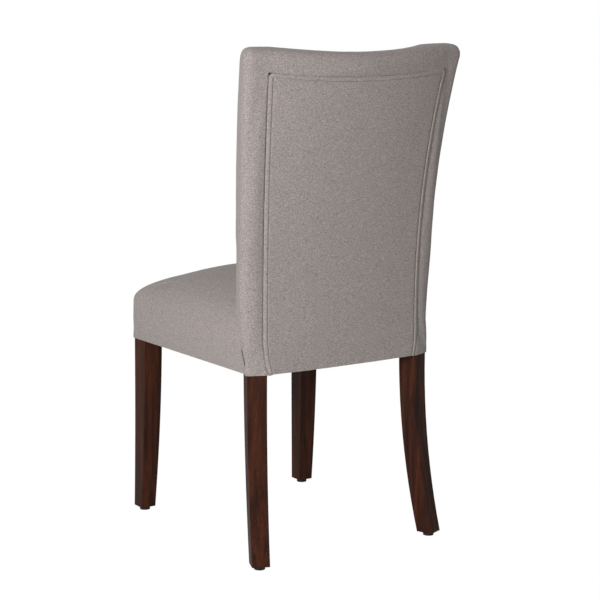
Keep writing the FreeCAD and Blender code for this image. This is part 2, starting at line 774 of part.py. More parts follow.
def seatForm(inset):
    """Cushion: drawn in at the hem, full at the sides, rounded over and crowned."""
    hem = size("hemHeight") + max(inset, 0)
    edge = worth(seatEdge)
    over = size("seatRound") - inset
    narrowing = size("seatTaper") * size("legTop") / size("postBack")
    draw = size("seatSwell") - size("coverThick") - 2 * size("clearance") - narrowing
    wires = []
    for rise, share in ((0, 1), (14, 0.35), (34, 0.05), (58, 0)):
        radius = size("seatCorner") + (size("seatTuck") - size("seatCorner")) * share
        wires.append(seatContour(inset, draw * share, radius, hem + rise))
    wires.append(seatContour(inset, 0, size("seatCorner"), worth(seatCrown) + overshoot))
    sides = Part.makeLoft(wires, True, True)
    stations = [seatArch(inset, share) for share in (-0.02, 0.04, 0.12, 0.24, 0.4, 0.6, 0.88, 1.02)]
    arches = Part.makeLoft(stations, True, True)
    front = -size("seatSwell") + inset - size("frontFace") - over * 0.08

    def at(y, z):
        return Vector(-beyond, y, z)

    high = worth(seatCrown) + over
    low = size("hemHeight") - over
    nose = [bend(at(front, edge - over * 0.4), at(front + over * 0.22, edge + over * 0.4),
                 at(front + over * 0.9, edge + over * 0.92)),
            line(at(front + over * 0.9, edge + over * 0.92), at(front + 3 * over, high)),
            line(at(front + 3 * over, high), at(beyond, high)), line(at(beyond, high), at(beyond, low)),
            line(at(beyond, low), at(front, low)), line(at(front, low), at(front, edge - over * 0.4))]
    return sides.common(arches).common(Part.Face(Part.Wire(nose)).extrude(Vector(2 * beyond, 0, 0)))


def backStation(origin, heading, rearBase, rearTip, frontBase, frontTip, top, inset, flare):
    """Upright section of the back, in the plane through origin along heading."""
    hem = size("hemHeight") - (overshoot if inset else 0)
    start = worth(sabreStart)
    step = worth(stepHeight)
    roll = max(size("topRound") - inset, 3)
    lid = top - inset

    def at(out, height):
        return origin + heading * out + Vector(0, 0, height)

    def sweep(base, tip, height):
        """Circular sweep that stands upright at the start and reaches the tip at the top."""
        rise = top - start
        radius = (rise ** 2 + (tip - base) ** 2) / (2 * (tip - base))
        return base + radius - math.sqrt(radius ** 2 - max(height - start, 0) ** 2)

    low = lid - roll
    middle = (start + low) / 2
    rear, front = -inset, inset
    rearLow = sweep(rearBase, rearTip, low) + rear
    frontLow = sweep(frontBase, frontTip, low) + front
    rearLid = sweep(rearBase, rearTip, lid) + rear
    frontLid = sweep(frontBase, frontTip, lid) + front
    return Part.Wire([
        bend(at(rearBase + rear + flare, hem), at(rearBase + rear + flare * 0.5, (hem + step) / 2),
             at(rearBase + rear, step)),
        line(at(rearBase + rear, step), at(rearBase + rear, start)),
        Part.Arc(at(rearBase + rear, start), at(sweep(rearBase, rearTip, middle) + rear, middle),
                 at(rearLow, low)).toShape(),
        roundCorner(at(rearLow, low), at(rearLid, lid), at(rearLid - roll, lid)),
        line(at(rearLid - roll, lid), at(frontLid + roll, lid)),
        roundCorner(at(frontLid + roll, lid), at(frontLid, lid), at(frontLow, low)),
        Part.Arc(at(frontLow, low), at(sweep(frontBase, frontTip, middle) + front, middle),
                 at(frontBase + front, start)).toShape(),
        line(at(frontBase + front, start), at(frontBase + front, hem)),
        line(at(frontBase + front, hem), at(rearBase + rear + flare, hem)),
    ])


def borderStation(across, inset, side):
    """Section of the back beside a post, in the post's own turned plane."""
    turn = math.radians(size("postTurn"))
    heading = Vector(side * math.sin(turn), math.cos(turn), 0)
    origin = postVector(across, 0, 0, side)
    skew = math.tan(turn * 0.8)
    front = -size("borderFore") - (size("borderOut") - across) * skew
    sweep = sabre(size("backTop"))
    return backStation(origin, heading, size("borderLag"), size("borderLag") + sweep,
                       front, front + sweep, size("backTop"), inset, size("hemFlare"))


def middleStation(share):
    """Section of the back between the welt and the middle: share is 1 at the welt."""
    turn = math.radians(size("postTurn"))
    welt = postVector(-size("weltAcross"), size("borderLag"), 0)
    heading = Vector(math.sin(turn * share), math.cos(turn * share), 0)
    bend = 1 - share ** 2
    tip = sabre(size("backTop"))
    reach = tip * math.cos(turn)
    rearY = welt.y + size("bowBase") * bend
    baseFront = welt.y + size("bowBase") - size("backThick") - size("frontBow") * (1 - bend)
    origin = Vector(welt.x * share, rearY, 0)
    rise = (size("bowTop") - size("bowBase")) * bend
    return origin, heading, rise, reach, baseFront


def backForm(inset):
    """Whole back: a bowed middle between the welts and a rolled border round each post."""
    across = -size("weltAcross")
    ends = {side: borderStation(across, inset, side) for side in (1, -1)}
    wires = [ends[-1]]
    for share in (-0.5, 0, 0.5):
        origin, heading, rise, reach, baseFront = middleStation(share)
        full = math.cos(math.atan2(heading.x, heading.y))
        front = (baseFront - origin.y) / full
        sweep = (reach + rise) / full
        top = size("backTop") - size("backDip") * (1 - share ** 2)
        flare = size("hemFlare") * abs(share) ** 2
        wires.append(backStation(origin, heading, 0, sweep, front, front + sweep, top, inset, flare))
    wires.append(ends[1])
    form = smoothForm(wires)
    radius = size("sideRound")
    edge = size("borderOut") - inset
    for side in (1, -1):
        stations = [ends[side], borderStation(edge - radius, inset, side)]
        border = Part.makeLoft(stations, True, True)
        cap = [stations[1]]
        for turn in (30, 60, 80):
            angle = math.radians(turn)
            cap.append(borderStation(edge - radius * (1 - math.sin(angle)),
                                     inset + radius * (1 - math.cos(angle)) * 0.9, side))
        form = form.fuse([border, smoothForm(cap)])
    for side in (1, -1):
        form = form.common(waistBlock(inset, side))
    return form


def waistBlock(inset, side):
    """Everything inward of the curve by which the back's side draws in to the hem."""
    low = size("hemHeight") - size("topRound")
    high = size("backTop") + size("topRound")
    turn = math.radians(size("postTurn"))
    far = size("borderOut") + size("sideRound")
    ring = [
        (-beyond, low),
        (size("borderHem") - inset, low),
        (size("borderHem") - inset, size("hemHeight")),
        (size("borderWaist") - inset, worth(sabreStart)),
        (size("borderOut") + 1 - inset, worth(borderFull)),
        (far, worth(borderFull) + size("topRound")),
        (far, high),
        (-beyond, high),
    ]
    spots = [postVector(across, -beyond / 2, height, side) for across, height in ring]
    edges = [line(spots[0], spots[1]), line(spots[1], spots[2]), bend(spots[2], spots[3], spots[4])]
    edges += [line(start, stop) for start, stop in zip(spots[4:], spots[5:] + spots[:1])]
    away = Vector(side * math.sin(turn), math.cos(turn), 0) * beyond
    return Part.Face(Part.Wire(edges)).extrude(away)


def weltX(height):
    """Half width between the welts at a height."""
    turn = math.radians(size("postTurn"))
    out = size("borderLag") + sabre(height)
    return size("postAcross") - size("weltAcross") * math.cos(turn) + out * math.sin(turn)


def panelBlock(grow):
    """Everything behind the posts' axes and inside the line of the welt, enlarged by grow."""
    hem = size("hemHeight") - 10
    step = worth(stepHeight)
    start = worth(sabreStart)
    corner = size("weltCorner") + grow
    top = worth(weltTop) + grow
    middle = (start + top) / 2

    def at(x, height):
        return Vector(x, 0, height)

    def half(side):
        tuck = weltX(hem) + grow - size("weltTuck")
        slack = weltX(step) + grow - size("weltTuck") * 0.25
        tip = weltX(top) + grow
        return [
            bend(at(side * tuck, hem), at(side * slack, (hem + step) / 2),
                 at(side * (weltX(step) + grow), step)),
            line(at(side * (weltX(step) + grow), step), at(side * (weltX(start) + grow), start)),
            bend(at(side * (weltX(start) + grow), start), at(side * (weltX(middle) + grow), middle),
                 at(side * (weltX(top - corner) + grow), top - corner)),
            roundCorner(at(side * (weltX(top - corner) + grow), top - corner), at(side * tip, top),
                        at(side * (tip - corner), top)),
        ]

    right, left = half(1), half(-1)
    tip = weltX(top) + grow - corner
    lid = bend(at(tip, top), at(0, top - size("weltDip")), at(-tip, top))
    toe = weltX(hem) + grow - size("weltTuck")
    foot = line(at(-toe, hem), at(toe, hem))
    face = Part.Face(Part.Wire(Part.__sortEdges__(right + [lid] + left + [foot])))
    return face.extrude(Vector(0, beyond, 0)).common(rearBlock())


def rearBlock():
    """Everything behind the swept line of the posts' axes."""
    low = size("hemHeight") - size("topRound")
    high = size("backTop") + size("topRound")
    start = worth(sabreStart)
    axis = size("postBack") - size("frontFace")

    def at(y, height):
        return Vector(-beyond, y, height)

    halfway = (start + high) / 2
    ring = [
        line(at(axis, low), at(axis, start)),
        bend(at(axis, start), at(axis + sabre(halfway), halfway), at(axis + sabre(high), high)),
        line(at(axis + sabre(high), high), at(beyond, high)),
        line(at(beyond, high), at(beyond, low)),
        line(at(beyond, low), at(axis, low)),
    ]
    return Part.Face(Part.Wire(ring)).extrude(Vector(2 * beyond, 0, 0))


def prism(points, low, high):
    """Upright block on a plan outline given from the front legs' front face."""
    ring = [Vector(x, y - size("frontFace"), low) for x, y in points]
    return Part.Face(Part.makePolygon(ring + ring[:1])).extrude(Vector(0, 0, high - low))


def mirrored(points):
    return points + [(-x, y) for x, y in reversed(points)]


def frameBlock(gap):
    """Plan outline of the whole frame with a gap, from below the hem up to the webbing's top."""
    half = worth(halfPost) + gap
    outer = size("legOuter") + gap
    points = [(outer, -gap), (outer, size("legTop"))]
    for across, out in ((half, -half), (half, half), (-half, half)):
        spot = postVector(across, out, 0)
        points.append((spot.x, spot.y + size("frontFace")))
    points.append((0, worth(rearFace) + gap))
    points += [(-x, y) for x, y in reversed(points[:-1])]
    return prism(points, size("hemHeight") - size("skirtLift"), worth(deckTop))


def deckBlock(gap):
    """Space over the seat's deck and rails, forward of the posts."""
    half = worth(halfPost)
    outer = size("legOuter") + gap
    points = [(outer, -gap), (outer, size("legTop"))]
    for across, out in ((half + gap, -half - gap), (-half, -half - gap)):
        spot = postVector(across, out, 0)
        points.append((spot.x, spot.y + size("frontFace")))
    return prism(mirrored(points), size("hemHeight") - size("skirtLift"), worth(deckTop))


def hollowBlock():
    """Space behind the back's webbing, between the outer faces of the posts."""
    half = worth(halfPost)
    gap = size("clearance")
    start = worth(sabreStart)
    tip = worth(postTop) + gap
    wires = []
    steps = 10
    heights = [size("hemHeight")]
    heights += [start + (tip - start) * step / steps for step in range(steps + 1)]
    for height in heights:
        level = min(max(height, start), worth(postTop))
        out = postFrontSweep(level) - size("webThick") - 2 * gap
        spots = ((half + gap, beyond / 4), (half + gap, out), (-half, out))
        right = [postVector(across, depth, height) for across, depth in spots]
        left = [Vector(-point.x, point.y, point.z) for point in reversed(right)]
        wires.append(Part.makePolygon(right + left + right[:1]))
    return Part.makeLoft(wires, True, True)


def above(shape, height):
    """The part of a shape over a height."""
    box = Part.makeBox(2 * beyond, 2 * beyond, beyond, Vector(-beyond, -beyond, height))
    return shape.common(box)


def onlySolid(shape):
    """The largest solid of a boolean result, for results that must be one piece."""
    solids = sorted(shape.Solids, key=lambda solid: solid.Volume)
    return solids[-1]


def makeSoftPieces():
    gap = size("clearance")
    cover = size("coverThick")
    skirt = size("hemHeight") + size("skirtLift")
    frame = frameBlock(gap)
    backOuter = backForm(0)
    backInner = backForm(cover)
    backKeepOut = backForm(-gap)
    seatInner = seatForm(cover)

    foam = above(seatForm(cover + gap), skirt).cut([frame, backKeepOut])
    feature("seat_foam", onlySolid(foam))

    outer = size("legOuter") + gap
    inner = size("legOuter") - size("legTop") - gap
    behind = size("legTop") + gap
    ring = [(outer, -gap), (outer, behind), (inner, behind), (inner, -gap)]
    sockets = [prism([(side * x, y) for x, y in ring], size("hemHeight") - overshoot, worth(railBase))
               for side in (1, -1)]
    lip = size("railSet") + size("flange")

    def mouthX(y):
        """Half width of the opening inside the turned-under fabric."""
        front = worth(railOuter) - size("flange")
        rear = worth(sideRear[0]) - size("flange")
        return front + (rear - front) * (y - lip) / (size("postBack") - lip)

    opening = prism(mirrored([(mouthX(lip), lip), (mouthX(size("postBack")), size("postBack"))]),
                    size("hemHeight") - overshoot, worth(railBase) + gap)
    feature("seat_cover", onlySolid(seatForm(0).cut([seatInner, backKeepOut, opening] + sockets)))

    postFront = worth(sideRear[1]) - 2
    postInner = worth(postPoint(f"-{halfPost}", f"-{halfPost}")[0]) - 2
    rearEdge = worth(rearInner) + size("webTack")
    notched = [(inner, lip + gap), (inner, behind), (mouthX(behind) - gap, behind)]
    notched += [(mouthX(postFront) - gap, postFront), (postInner, postFront), (postInner, rearEdge)]
    feature("dust_cover", prism(mirrored(notched), worth(railBase) - size("dustThick"), worth(railBase)))

    backFoam = above(backForm(cover + gap), skirt).cut([frame, hollowBlock()])
    feature("back_foam", onlySolid(backFoam))

    deck = deckBlock(gap)
    shell = backOuter.cut([backInner, deck])
    half = size("weltWidth") / 2
    feature("back_cover", onlySolid(shell.cut(panelBlock(half + gap))))
    feature("outside_back_panel", onlySolid(shell.common(panelBlock(-half - gap))))
    band = panelBlock(half).cut(panelBlock(-half))
    feature("back_welt", onlySolid(backForm(-size("weltProud")).cut([backInner, deck]).common(band)))


makeSoftPieces()


doc.recompute()
failed = [item.Label for item in doc.Objects if "Invalid" in item.State or "Error" in item.State]
broken = [item.Label for item in nodes if item.Shape.isNull() or not item.Shape.isValid()]
if failed or broken:
    raise RuntimeError(f"failed {failed}, broken {broken}")

os.makedirs("parts", exist_ok=True)
for item in nodes:
    item.Shape.exportStep(f"parts/{item.Label}.step")
    print(item.Label, round(item.Shape.Volume), item.Shape.BoundBox)
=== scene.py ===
import math

import bmesh
import bpy
from mathutils import Matrix, Vector, noise


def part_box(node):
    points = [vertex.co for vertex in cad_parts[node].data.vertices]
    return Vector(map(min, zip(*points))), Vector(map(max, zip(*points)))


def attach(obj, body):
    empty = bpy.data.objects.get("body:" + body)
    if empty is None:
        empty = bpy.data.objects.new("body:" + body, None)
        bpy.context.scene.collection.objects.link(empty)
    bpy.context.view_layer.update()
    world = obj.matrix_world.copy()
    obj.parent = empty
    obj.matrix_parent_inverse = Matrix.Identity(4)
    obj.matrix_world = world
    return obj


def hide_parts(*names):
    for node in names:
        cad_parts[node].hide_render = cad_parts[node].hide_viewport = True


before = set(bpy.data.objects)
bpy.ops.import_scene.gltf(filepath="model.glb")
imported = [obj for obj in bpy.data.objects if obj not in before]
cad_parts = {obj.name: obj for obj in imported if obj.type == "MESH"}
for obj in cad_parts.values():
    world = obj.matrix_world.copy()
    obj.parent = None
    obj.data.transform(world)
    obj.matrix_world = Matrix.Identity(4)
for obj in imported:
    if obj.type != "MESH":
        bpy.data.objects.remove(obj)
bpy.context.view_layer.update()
scene = bpy.context.scene
print("frame loaded")

# Millimetres, from the part's own sizes: +X is the sitter's left, +Y the back, Z = 0 the floor
frontFace = 271.5            # centre to the front of the seat's frame
hemHeight = 381              # lower edge of the covers
deckTop = 460.5              # where the back's padding meets the seat
sabreStart = 488             # the back sweeps rearward from this height
sabreRadius = 1974
backTop = 1016
post = {"across": 189.5, "back": 441 - frontFace, "turn": math.radians(21.4), "half": 20.1}


def mm(*numbers):
    return Vector(numbers) / 1000


def lerp(low, high, share):
    return low + (high - low) * share


def smooth(share):
    share = min(max(share, 0), 1)
    return share * share * (3 - 2 * share)


# Meshes


# Mesh from points in millimetres, which rides on the chair
def meshPiece(name, points, faces, material, marks=None):
    mesh = bpy.data.meshes.new(name)
    mesh.from_pydata([mm(*point) for point in points], [], faces)
    for polygon, mark in zip(mesh.polygons, marks or []):
        polygon.material_index = mark
    piece = bpy.data.objects.new(name, mesh)
    scene.collection.objects.link(piece)
    tidyMesh(piece)
    piece.data.materials.append(material)
    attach(piece, "root")
    return piece


def tidyMesh(piece):
    work = bmesh.new()
    work.from_mesh(piece.data)
    bmesh.ops.remove_doubles(work, verts=work.verts, dist=0.00002)
    bmesh.ops.recalc_face_normals(work, faces=work.faces)
    work.to_mesh(piece.data)
    work.free()
    piece.data.shade_smooth()


# Quads between neighbouring rows of points, row by row
def gridFaces(rows, columns, start=0, closed=False):
    faces = []
    for row in range(rows - 1):
        for column in range(columns if closed else columns - 1):
            following = (column + 1) % columns
            low, high = start + row * columns, start + (row + 1) * columns
            faces.append((low + column, low + following, high + following, high + column))
    return faces


def applyModifier(piece, kind, **values):
    modifier = piece.modifiers.new(kind.title(), kind)
    for name, value in values.items():
        setattr(modifier, name, value)
    bpy.context.view_layer.update()
    graph = bpy.context.evaluated_depsgraph_get()
    done = bpy.data.meshes.new_from_object(piece.evaluated_get(graph))
    piece.modifiers.clear()
    old = piece.data
    piece.data = done
    bpy.data.meshes.remove(old)


stuffing = {
    "frames": 20,
    "quality": 6,
    "mass": 0.35,
    "stretch": 25,
    "shear": 12,
    "bend": 3,
}


# Inflate a cover as cloth held at its pinned points, each point kept within cap
def puff(piece, pinned, pressure, cap):
    rest = [vertex.co.copy() for vertex in piece.data.vertices]
    group = piece.vertex_groups.new(name="pinned")
    for index, co in enumerate(rest):
        weight = pinned(co, index)
        if weight > 0:
            group.add([index], weight, "REPLACE")
    modifier = piece.modifiers.new("Cloth", "CLOTH")
    cloth = modifier.settings
    cloth.quality = stuffing["quality"]
    cloth.mass = stuffing["mass"]
    cloth.tension_stiffness = cloth.compression_stiffness = stuffing["stretch"]
    cloth.shear_stiffness = stuffing["shear"]
    cloth.bending_stiffness = stuffing["bend"]
    cloth.use_pressure = True
    cloth.uniform_pressure_force = pressure
    cloth.effector_weights.gravity = 0
    cloth.vertex_group_mass = "pinned"
    modifier.point_cache.frame_start = 1
    modifier.point_cache.frame_end = stuffing["frames"]
    for step in range(1, stuffing["frames"] + 1):
        scene.frame_set(step)
    graph = bpy.context.evaluated_depsgraph_get()
    settled = [vertex.co.copy() for vertex in piece.evaluated_get(graph).data.vertices]
    piece.modifiers.clear()
    piece.vertex_groups.clear()
    reach = cap / 1000
    for vertex, start, end in zip(piece.data.vertices, rest, settled):
        move = end - start
        if move.length > 1e-9:
            move *= reach * math.tanh(move.length / reach) / move.length
        vertex.co = start + move
    scene.frame_set(1)


# Soft unevenness of stuffing under a cover
def uneven(piece, height, pitch, seed, keep):
    shift = Vector((seed, seed * 2, seed * 3))
    finer = 2.4
    normals = [vertex.normal.copy() for vertex in piece.data.vertices]
    for vertex, normal in zip(piece.data.vertices, normals):
        place = vertex.co * 1000 / pitch + shift
        wave = noise.noise(place) + 0.5 * noise.noise(place * finer)
        vertex.co += normal * wave * height / 1000 * keep(vertex.co, vertex.index)


# Materials


def newMaterial(name):
    material = bpy.data.materials.new(name)
    material.use_nodes = True
    tree = material.node_tree
    shader = tree.nodes["Principled BSDF"]
    return material, tree, shader


def addNode(tree, kind, inputs=None, **values):
    node = tree.nodes.new(kind)
    for name, value in values.items():
        setattr(node, name, value)
    for name, value in (inputs or {}).items():
        if isinstance(value, bpy.types.NodeSocket):
            tree.links.new(value, node.inputs[name])
        else:
            node.inputs[name].default_value = value
    return node


# Object coordinates in metres, stretched along each axis
def objectSpace(tree, stretch):
    place = addNode(tree, "ShaderNodeTexCoord")
    mapping = addNode(tree, "ShaderNodeMapping", {"Vector": place.outputs["Object"], "Scale": stretch})
    return mapping.outputs[0]


def srgb(red, green, blue):
    def linear(value):
        value /= 255
        return value / 12.92 if value <= 0.04045 else ((value + 0.055) / 1.055) ** 2.4
    return (linear(red), linear(green), linear(blue), 1)


def ramp(tree, factor, stops):
    node = addNode(tree, "ShaderNodeValToRGB", {"Fac": factor})
    node.color_ramp.elements[0].position, node.color_ramp.elements[0].color = stops[0]
    node.color_ramp.elements[1].position, node.color_ramp.elements[1].color = stops[-1]
    for position, colour in stops[1:-1]:
        element = node.color_ramp.elements.new(position)
        element.color = colour
    return node.outputs["Color"]


fabricLook = {
    "dark": srgb(121, 113, 111),
    "middle": srgb(152, 144, 141),
    "light": srgb(181, 172, 169),
    "tones": (0.38, 0.5, 0.62),
    "slubs": (330, 330, 520),     # per metre along X, Y and Z
    "specks": (1500, 1500, 1100),
    "weave": (1050, 1050, 1050),
    "weaveDepth": 0.0006,
    "woolDepth": 0.0012,
    "roughness": 0.92,
    "specular": 0.15,
    "sheen": 0.18,
}


# Tightly woven heathered upholstery cloth
def makeFabric():
    material, tree, shader = newMaterial("HeatheredCloth")
    slubs = addNode(tree, "ShaderNodeTexNoise", {
        "Vector": objectSpace(tree, fabricLook["slubs"]), "Scale": 1.0, "Detail": 3.0, "Roughness": 0.6})
    specks = addNode(tree, "ShaderNodeTexNoise", {
        "Vector": objectSpace(tree, fabricLook["specks"]), "Scale": 1.0, "Detail": 2.0, "Roughness": 0.55})
    blend = addNode(tree, "ShaderNodeMath", {0: slubs.outputs["Fac"], 1: specks.outputs["Fac"]},
                    operation="ADD")
    half = addNode(tree, "ShaderNodeMath", {0: blend.outputs[0], 1: 0.5}, operation="MULTIPLY")
    stops = zip(fabricLook["tones"], (fabricLook[name] for name in ("dark", "middle", "light")))
    colour = ramp(tree, half.outputs[0], list(stops))
    tree.links.new(colour, shader.inputs["Base Color"])
    warp = addNode(tree, "ShaderNodeTexVoronoi", {
        "Vector": objectSpace(tree, fabricLook["weave"]), "Scale": 1.0, "Randomness": 0.45})
    bump = addNode(tree, "ShaderNodeBump", {
        "Height": warp.outputs["Distance"], "Strength": 0.35, "Distance": fabricLook["weaveDepth"]})
    wool = addNode(tree, "ShaderNodeBump", {
        "Height": half.outputs[0], "Strength": 0.4, "Distance": fabricLook["woolDepth"],
        "Normal": bump.outputs[0]})
    tree.links.new(wool.outputs[0], shader.inputs["Normal"])
    shader.inputs["Roughness"].default_value = fabricLook["roughness"]
    shader.inputs["Specular IOR Level"].default_value = fabricLook["specular"]
    shader.inputs["Sheen Weight"].default_value = fabricLook["sheen"]
    shader.inputs["Sheen Roughness"].default_value = 0.5
    return material


legWood = {
    "dark": srgb(33, 16, 10),
    "middle": srgb(56, 28, 18),
    "light": srgb(80, 41, 23),
    "roughness": 0.4,
    "stretch": (70, 70, 5),       # per metre: the grain runs along the smallest number
}
frameWood = {
    "dark": srgb(150, 118, 84),
    "middle": srgb(178, 146, 108),
    "light": srgb(196, 168, 130),
    "roughness": 0.7,
    "stretch": (5, 60, 60),
}
woodTones = (0.48, 0.68, 0.9)


# Wood with bands and fine pores along its grain
def makeWood(name, look):
    material, tree, shader = newMaterial(name)
    bands = addNode(tree, "ShaderNodeTexNoise", {
        "Vector": objectSpace(tree, look["stretch"]), "Scale": 1.0, "Detail": 5.0, "Roughness": 0.62,
        "Distortion": 0.6})
    finer = tuple(9 * number for number in look["stretch"])
    pores = addNode(tree, "ShaderNodeTexNoise", {
        "Vector": objectSpace(tree, finer), "Scale": 1.0, "Detail": 3.0})
    tone = addNode(tree, "ShaderNodeMath", {0: pores.outputs["Fac"], 1: 0.35}, operation="MULTIPLY")
    grain = addNode(tree, "ShaderNodeMath", {0: bands.outputs["Fac"], 1: tone.outputs[0]}, operation="ADD")
    stops = zip(woodTones, (look[name] for name in ("dark", "middle", "light")))
    colour = ramp(tree, grain.outputs[0], list(stops))
    tree.links.new(colour, shader.inputs["Base Color"])
    bump = addNode(tree, "ShaderNodeBump", {
        "Height": pores.outputs["Fac"], "Strength": 0.12, "Distance": 0.0004})
    tree.links.new(bump.outputs[0], shader.inputs["Normal"])
    shader.inputs["Roughness"].default_value = look["roughness"]
    shader.inputs["Specular IOR Level"].default_value = 0.14
    return material


# Plain surface with a fine mottle
def makePlain(name, colour, roughness, metallic=0.0, grain=900, depth=0.0003):
    material, tree, shader = newMaterial(name)
    mottle = addNode(tree, "ShaderNodeTexNoise", {
        "Vector": objectSpace(tree, (grain,) * 3), "Scale": 1.0, "Detail": 2.0})
    darker = tuple(0.78 * value for value in colour[:3]) + (1,)
    tint = ramp(tree, mottle.outputs["Fac"], [(0.35, darker), (0.65, colour)])
    tree.links.new(tint, shader.inputs["Base Color"])
    bump = addNode(tree, "ShaderNodeBump", {
        "Height": mottle.outputs["Fac"], "Strength": 0.3, "Distance": depth})
    tree.links.new(bump.outputs[0], shader.inputs["Normal"])
    shader.inputs["Roughness"].default_value = roughness
    shader.inputs["Metallic"].default_value = metallic
    return material


fabric = makeFabric()
walnut = makeWood("StainedWood", legWood)
rawWood = makeWood("FrameWood", frameWood)
webbing = makePlain("JuteWebbing", srgb(160, 140, 105), 0.9, grain=700, depth=0.0008)
dustWeave = makePlain("DustCloth", srgb(34, 34, 36), 0.95, grain=1400)
plastic = makePlain("GlidePlastic", srgb(24, 23, 23), 0.45)
steel = makePlain("ZincSteel", srgb(168, 170, 172), 0.35, metallic=1.0)
foamLook = makePlain("Foam", srgb(214, 204, 178), 0.95)

nodeLooks = {
    walnut: ["front_leg_left", "front_leg_right", "rear_leg_left", "rear_leg_right"],
    rawWood: ["front_rail", "rear_rail", "side_rail_left", "side_rail_right", "crest_rail", "lumbar_rail",
              "corner_block_front_left", "corner_block_front_right", "corner_block_rear_left",
              "corner_block_rear_right"],
    webbing: ["webbing_lengthwise", "webbing_crosswise", "back_webbing"],
    dustWeave: ["dust_cover"],
    plastic: ["glide_front_left", "glide_front_right", "glide_rear_left", "glide_rear_right"],
    steel: ["leg_bolts", "leg_washers", "leg_nuts"],
    foamLook: ["seat_foam", "back_foam"],
    fabric: ["seat_cover", "back_cover", "outside_back_panel", "back_welt"],
}
for look, names in nodeLooks.items():
    for name in names:
        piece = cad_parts[name]
        if not piece.data.materials:
            piece.data.materials.append(look)
        for index in range(len(piece.material_slots)):
            piece.material_slots[index].material = look
print("materials made")

# Shape of the back, in millimetres

back = {
    "weltAcross": 16.4,      # post's axis inward to the welt
    "lag": 17.7,             # post's axis to the rear face
    "fore": 50,              # post's axis to the front face
    "foreTurn": 0.8,         # share of the post's turn that the front face follows
    "out": 39,               # post's axis to the side
    "outHem": 22.6,          # the same at the hem
    "outWaist": 34.4,        # and where the sweep begins
    "fullHeight": 600,       # full width from here up
    "flare": 5.8,            # the rear face stands back this much at the hem
    "stepHeight": 450,       # flare and tuck begin below this height, the lean above it
    "thick": 77,             # rear face to front face in the middle
    "dip": 9,                # the top is lower in the middle
    "bowBase": 9,            # the rear face bows back this much at the foot
    "bowTop": 30,            # and this much at the top
    "frontBow": 13,          # hollow of the front face
    "lean": 0.17,            # the border's outer edge stands further back
    "leanRise": 170,
    "sideRound": 21,
    "sideFlat": 0.9,         # depth of the side's rounding over its width
    "hemRound": 0.22,        # share of the rounding that is left at the hem
    "hemRoundRise": 170,
    "topRound": 26,
    "topRoundSide": 0.5,     # the top's rounding shrinks by this share of a side inset
    "topRoundLeast": 4,
    "lidSide": 0.6,          # the top falls by this share of a side inset
    "lidCrown": 1.2,
    "settle": 5,             # the padding rises by about this much over the top
    "fill": 1.8,             # extra padding of the border over the post
    "fillBeside": (3, 14),   # where it begins beside the welt, and its run
    "fillAbove": (2, 9),     # the same above the window
    "fillRise": 60,
    "skirtGap": 0.4,         # cover to post below the deck
    "skirtRise": 40,
    "pressure": 3.5,
    "swell": 3.0,            # the stuffing lifts the cover by this at most
    "lump": 0.5,
    "lumpPitch": 90,
    "thickness": 1.5,
    "cutGrow": -0.3,         # the seat's cut reaches this far into the back
}
window = {
    "top": 961,              # the welt's line at the corners
    "dip": 11,
    "tuck": 11,              # the welt runs inward by this at the hem
    "tuckCurve": 1.8,
    "tuckRun": 24,
    "half": 4.25,            # half width of the welt
    "gap": 0.2,
    "crease": 1.9,           # the cover dips this much beside the welt
    "creaseWidth": 1.7,
    "creaseSoft": 0.4,       # share of that dip everywhere but at the left border
    "nearWelt": 0.985,       # share across of the first section between the welts
}
creaseSteps = (0, 0.9, 1.9, 3.4)                   # close rows beside the welt
borderSteps = (6, 9.5, 13.5, 18, 22.5, 26.5)       # wider ones across the border
roundTurns = (13, 26, 39, 51, 62, 72, 81, 88)      # degrees round the border's side
backRows = {"rear": 76, "above": 4, "round": 7, "lid": 6, "front": 64, "across": 68}
windowEdge = window["half"] + window["gap"]
windowAcross = windowEdge - back["weltAcross"]


# Backward sweep at a height: the posts' own, or one that reaches tip at the top
def sabre(height, tip=None, top=backTop):
    rise = max(height - sabreStart, 0)
    if tip is None:
        return sabreRadius - math.sqrt(sabreRadius ** 2 - rise ** 2)
    full = top - sabreStart
    radius = (full ** 2 + tip ** 2) / (2 * tip)
    return radius - math.sqrt(max(radius ** 2 - rise ** 2, 0))


postTip = sabre(backTop)


# Plan point from a post's axis: across the post outward, and out towards the rear
def postPoint(across, out, side=1):
    turn = post["turn"]
    x = post["across"] + across * math.cos(turn) + out * math.sin(turn)
    y = post["back"] - across * math.sin(turn) + out * math.cos(turn)
    return side * x, y


weltX, weltY = postPoint(-back["weltAcross"], back["lag"])


# How far a height lies below the step, from 0 to 1 at the hem
def belowStep(height):
    return max(back["stepHeight"] - height, 0) / (back["stepHeight"] - hemHeight)


# The welt runs inward towards the hem
def tuckAt(height):
    return window["tuck"] * belowStep(height) ** window["tuckCurve"]


# Half width of the border outside the post's axis
def widthAt(height):
    if height < sabreStart:
        return lerp(back["outHem"], back["outWaist"], (height - hemHeight) / (sabreStart - hemHeight))
    share = min((height - sabreStart) / (back["fullHeight"] - sabreStart), 1)
    return lerp(back["outWaist"], back["out"], math.sin(math.pi / 2 * share))


# Section between the welts: share is 1 at the left welt and -1 at the right
def middlePlan(share):
    turn = post["turn"] * share
    bow = 1 - share ** 2
    full = math.cos(turn)
    fore = weltY + back["bowBase"] - back["thick"] - back["frontBow"] * share ** 2
    rearY = weltY + back["bowBase"] * bow
    reach = (postTip * math.cos(post["turn"]) + (back["bowTop"] - back["bowBase"]) * bow) / full
    return {
        "x": weltX * share, "y": rearY, "heading": (math.sin(turn), full), "across": None, "share": share,
        "front": (fore - rearY) / full, "rear": 0, "tip": reach, "top": backTop - back["dip"] * bow,
        "flare": back["flare"] * share ** 2,
    }


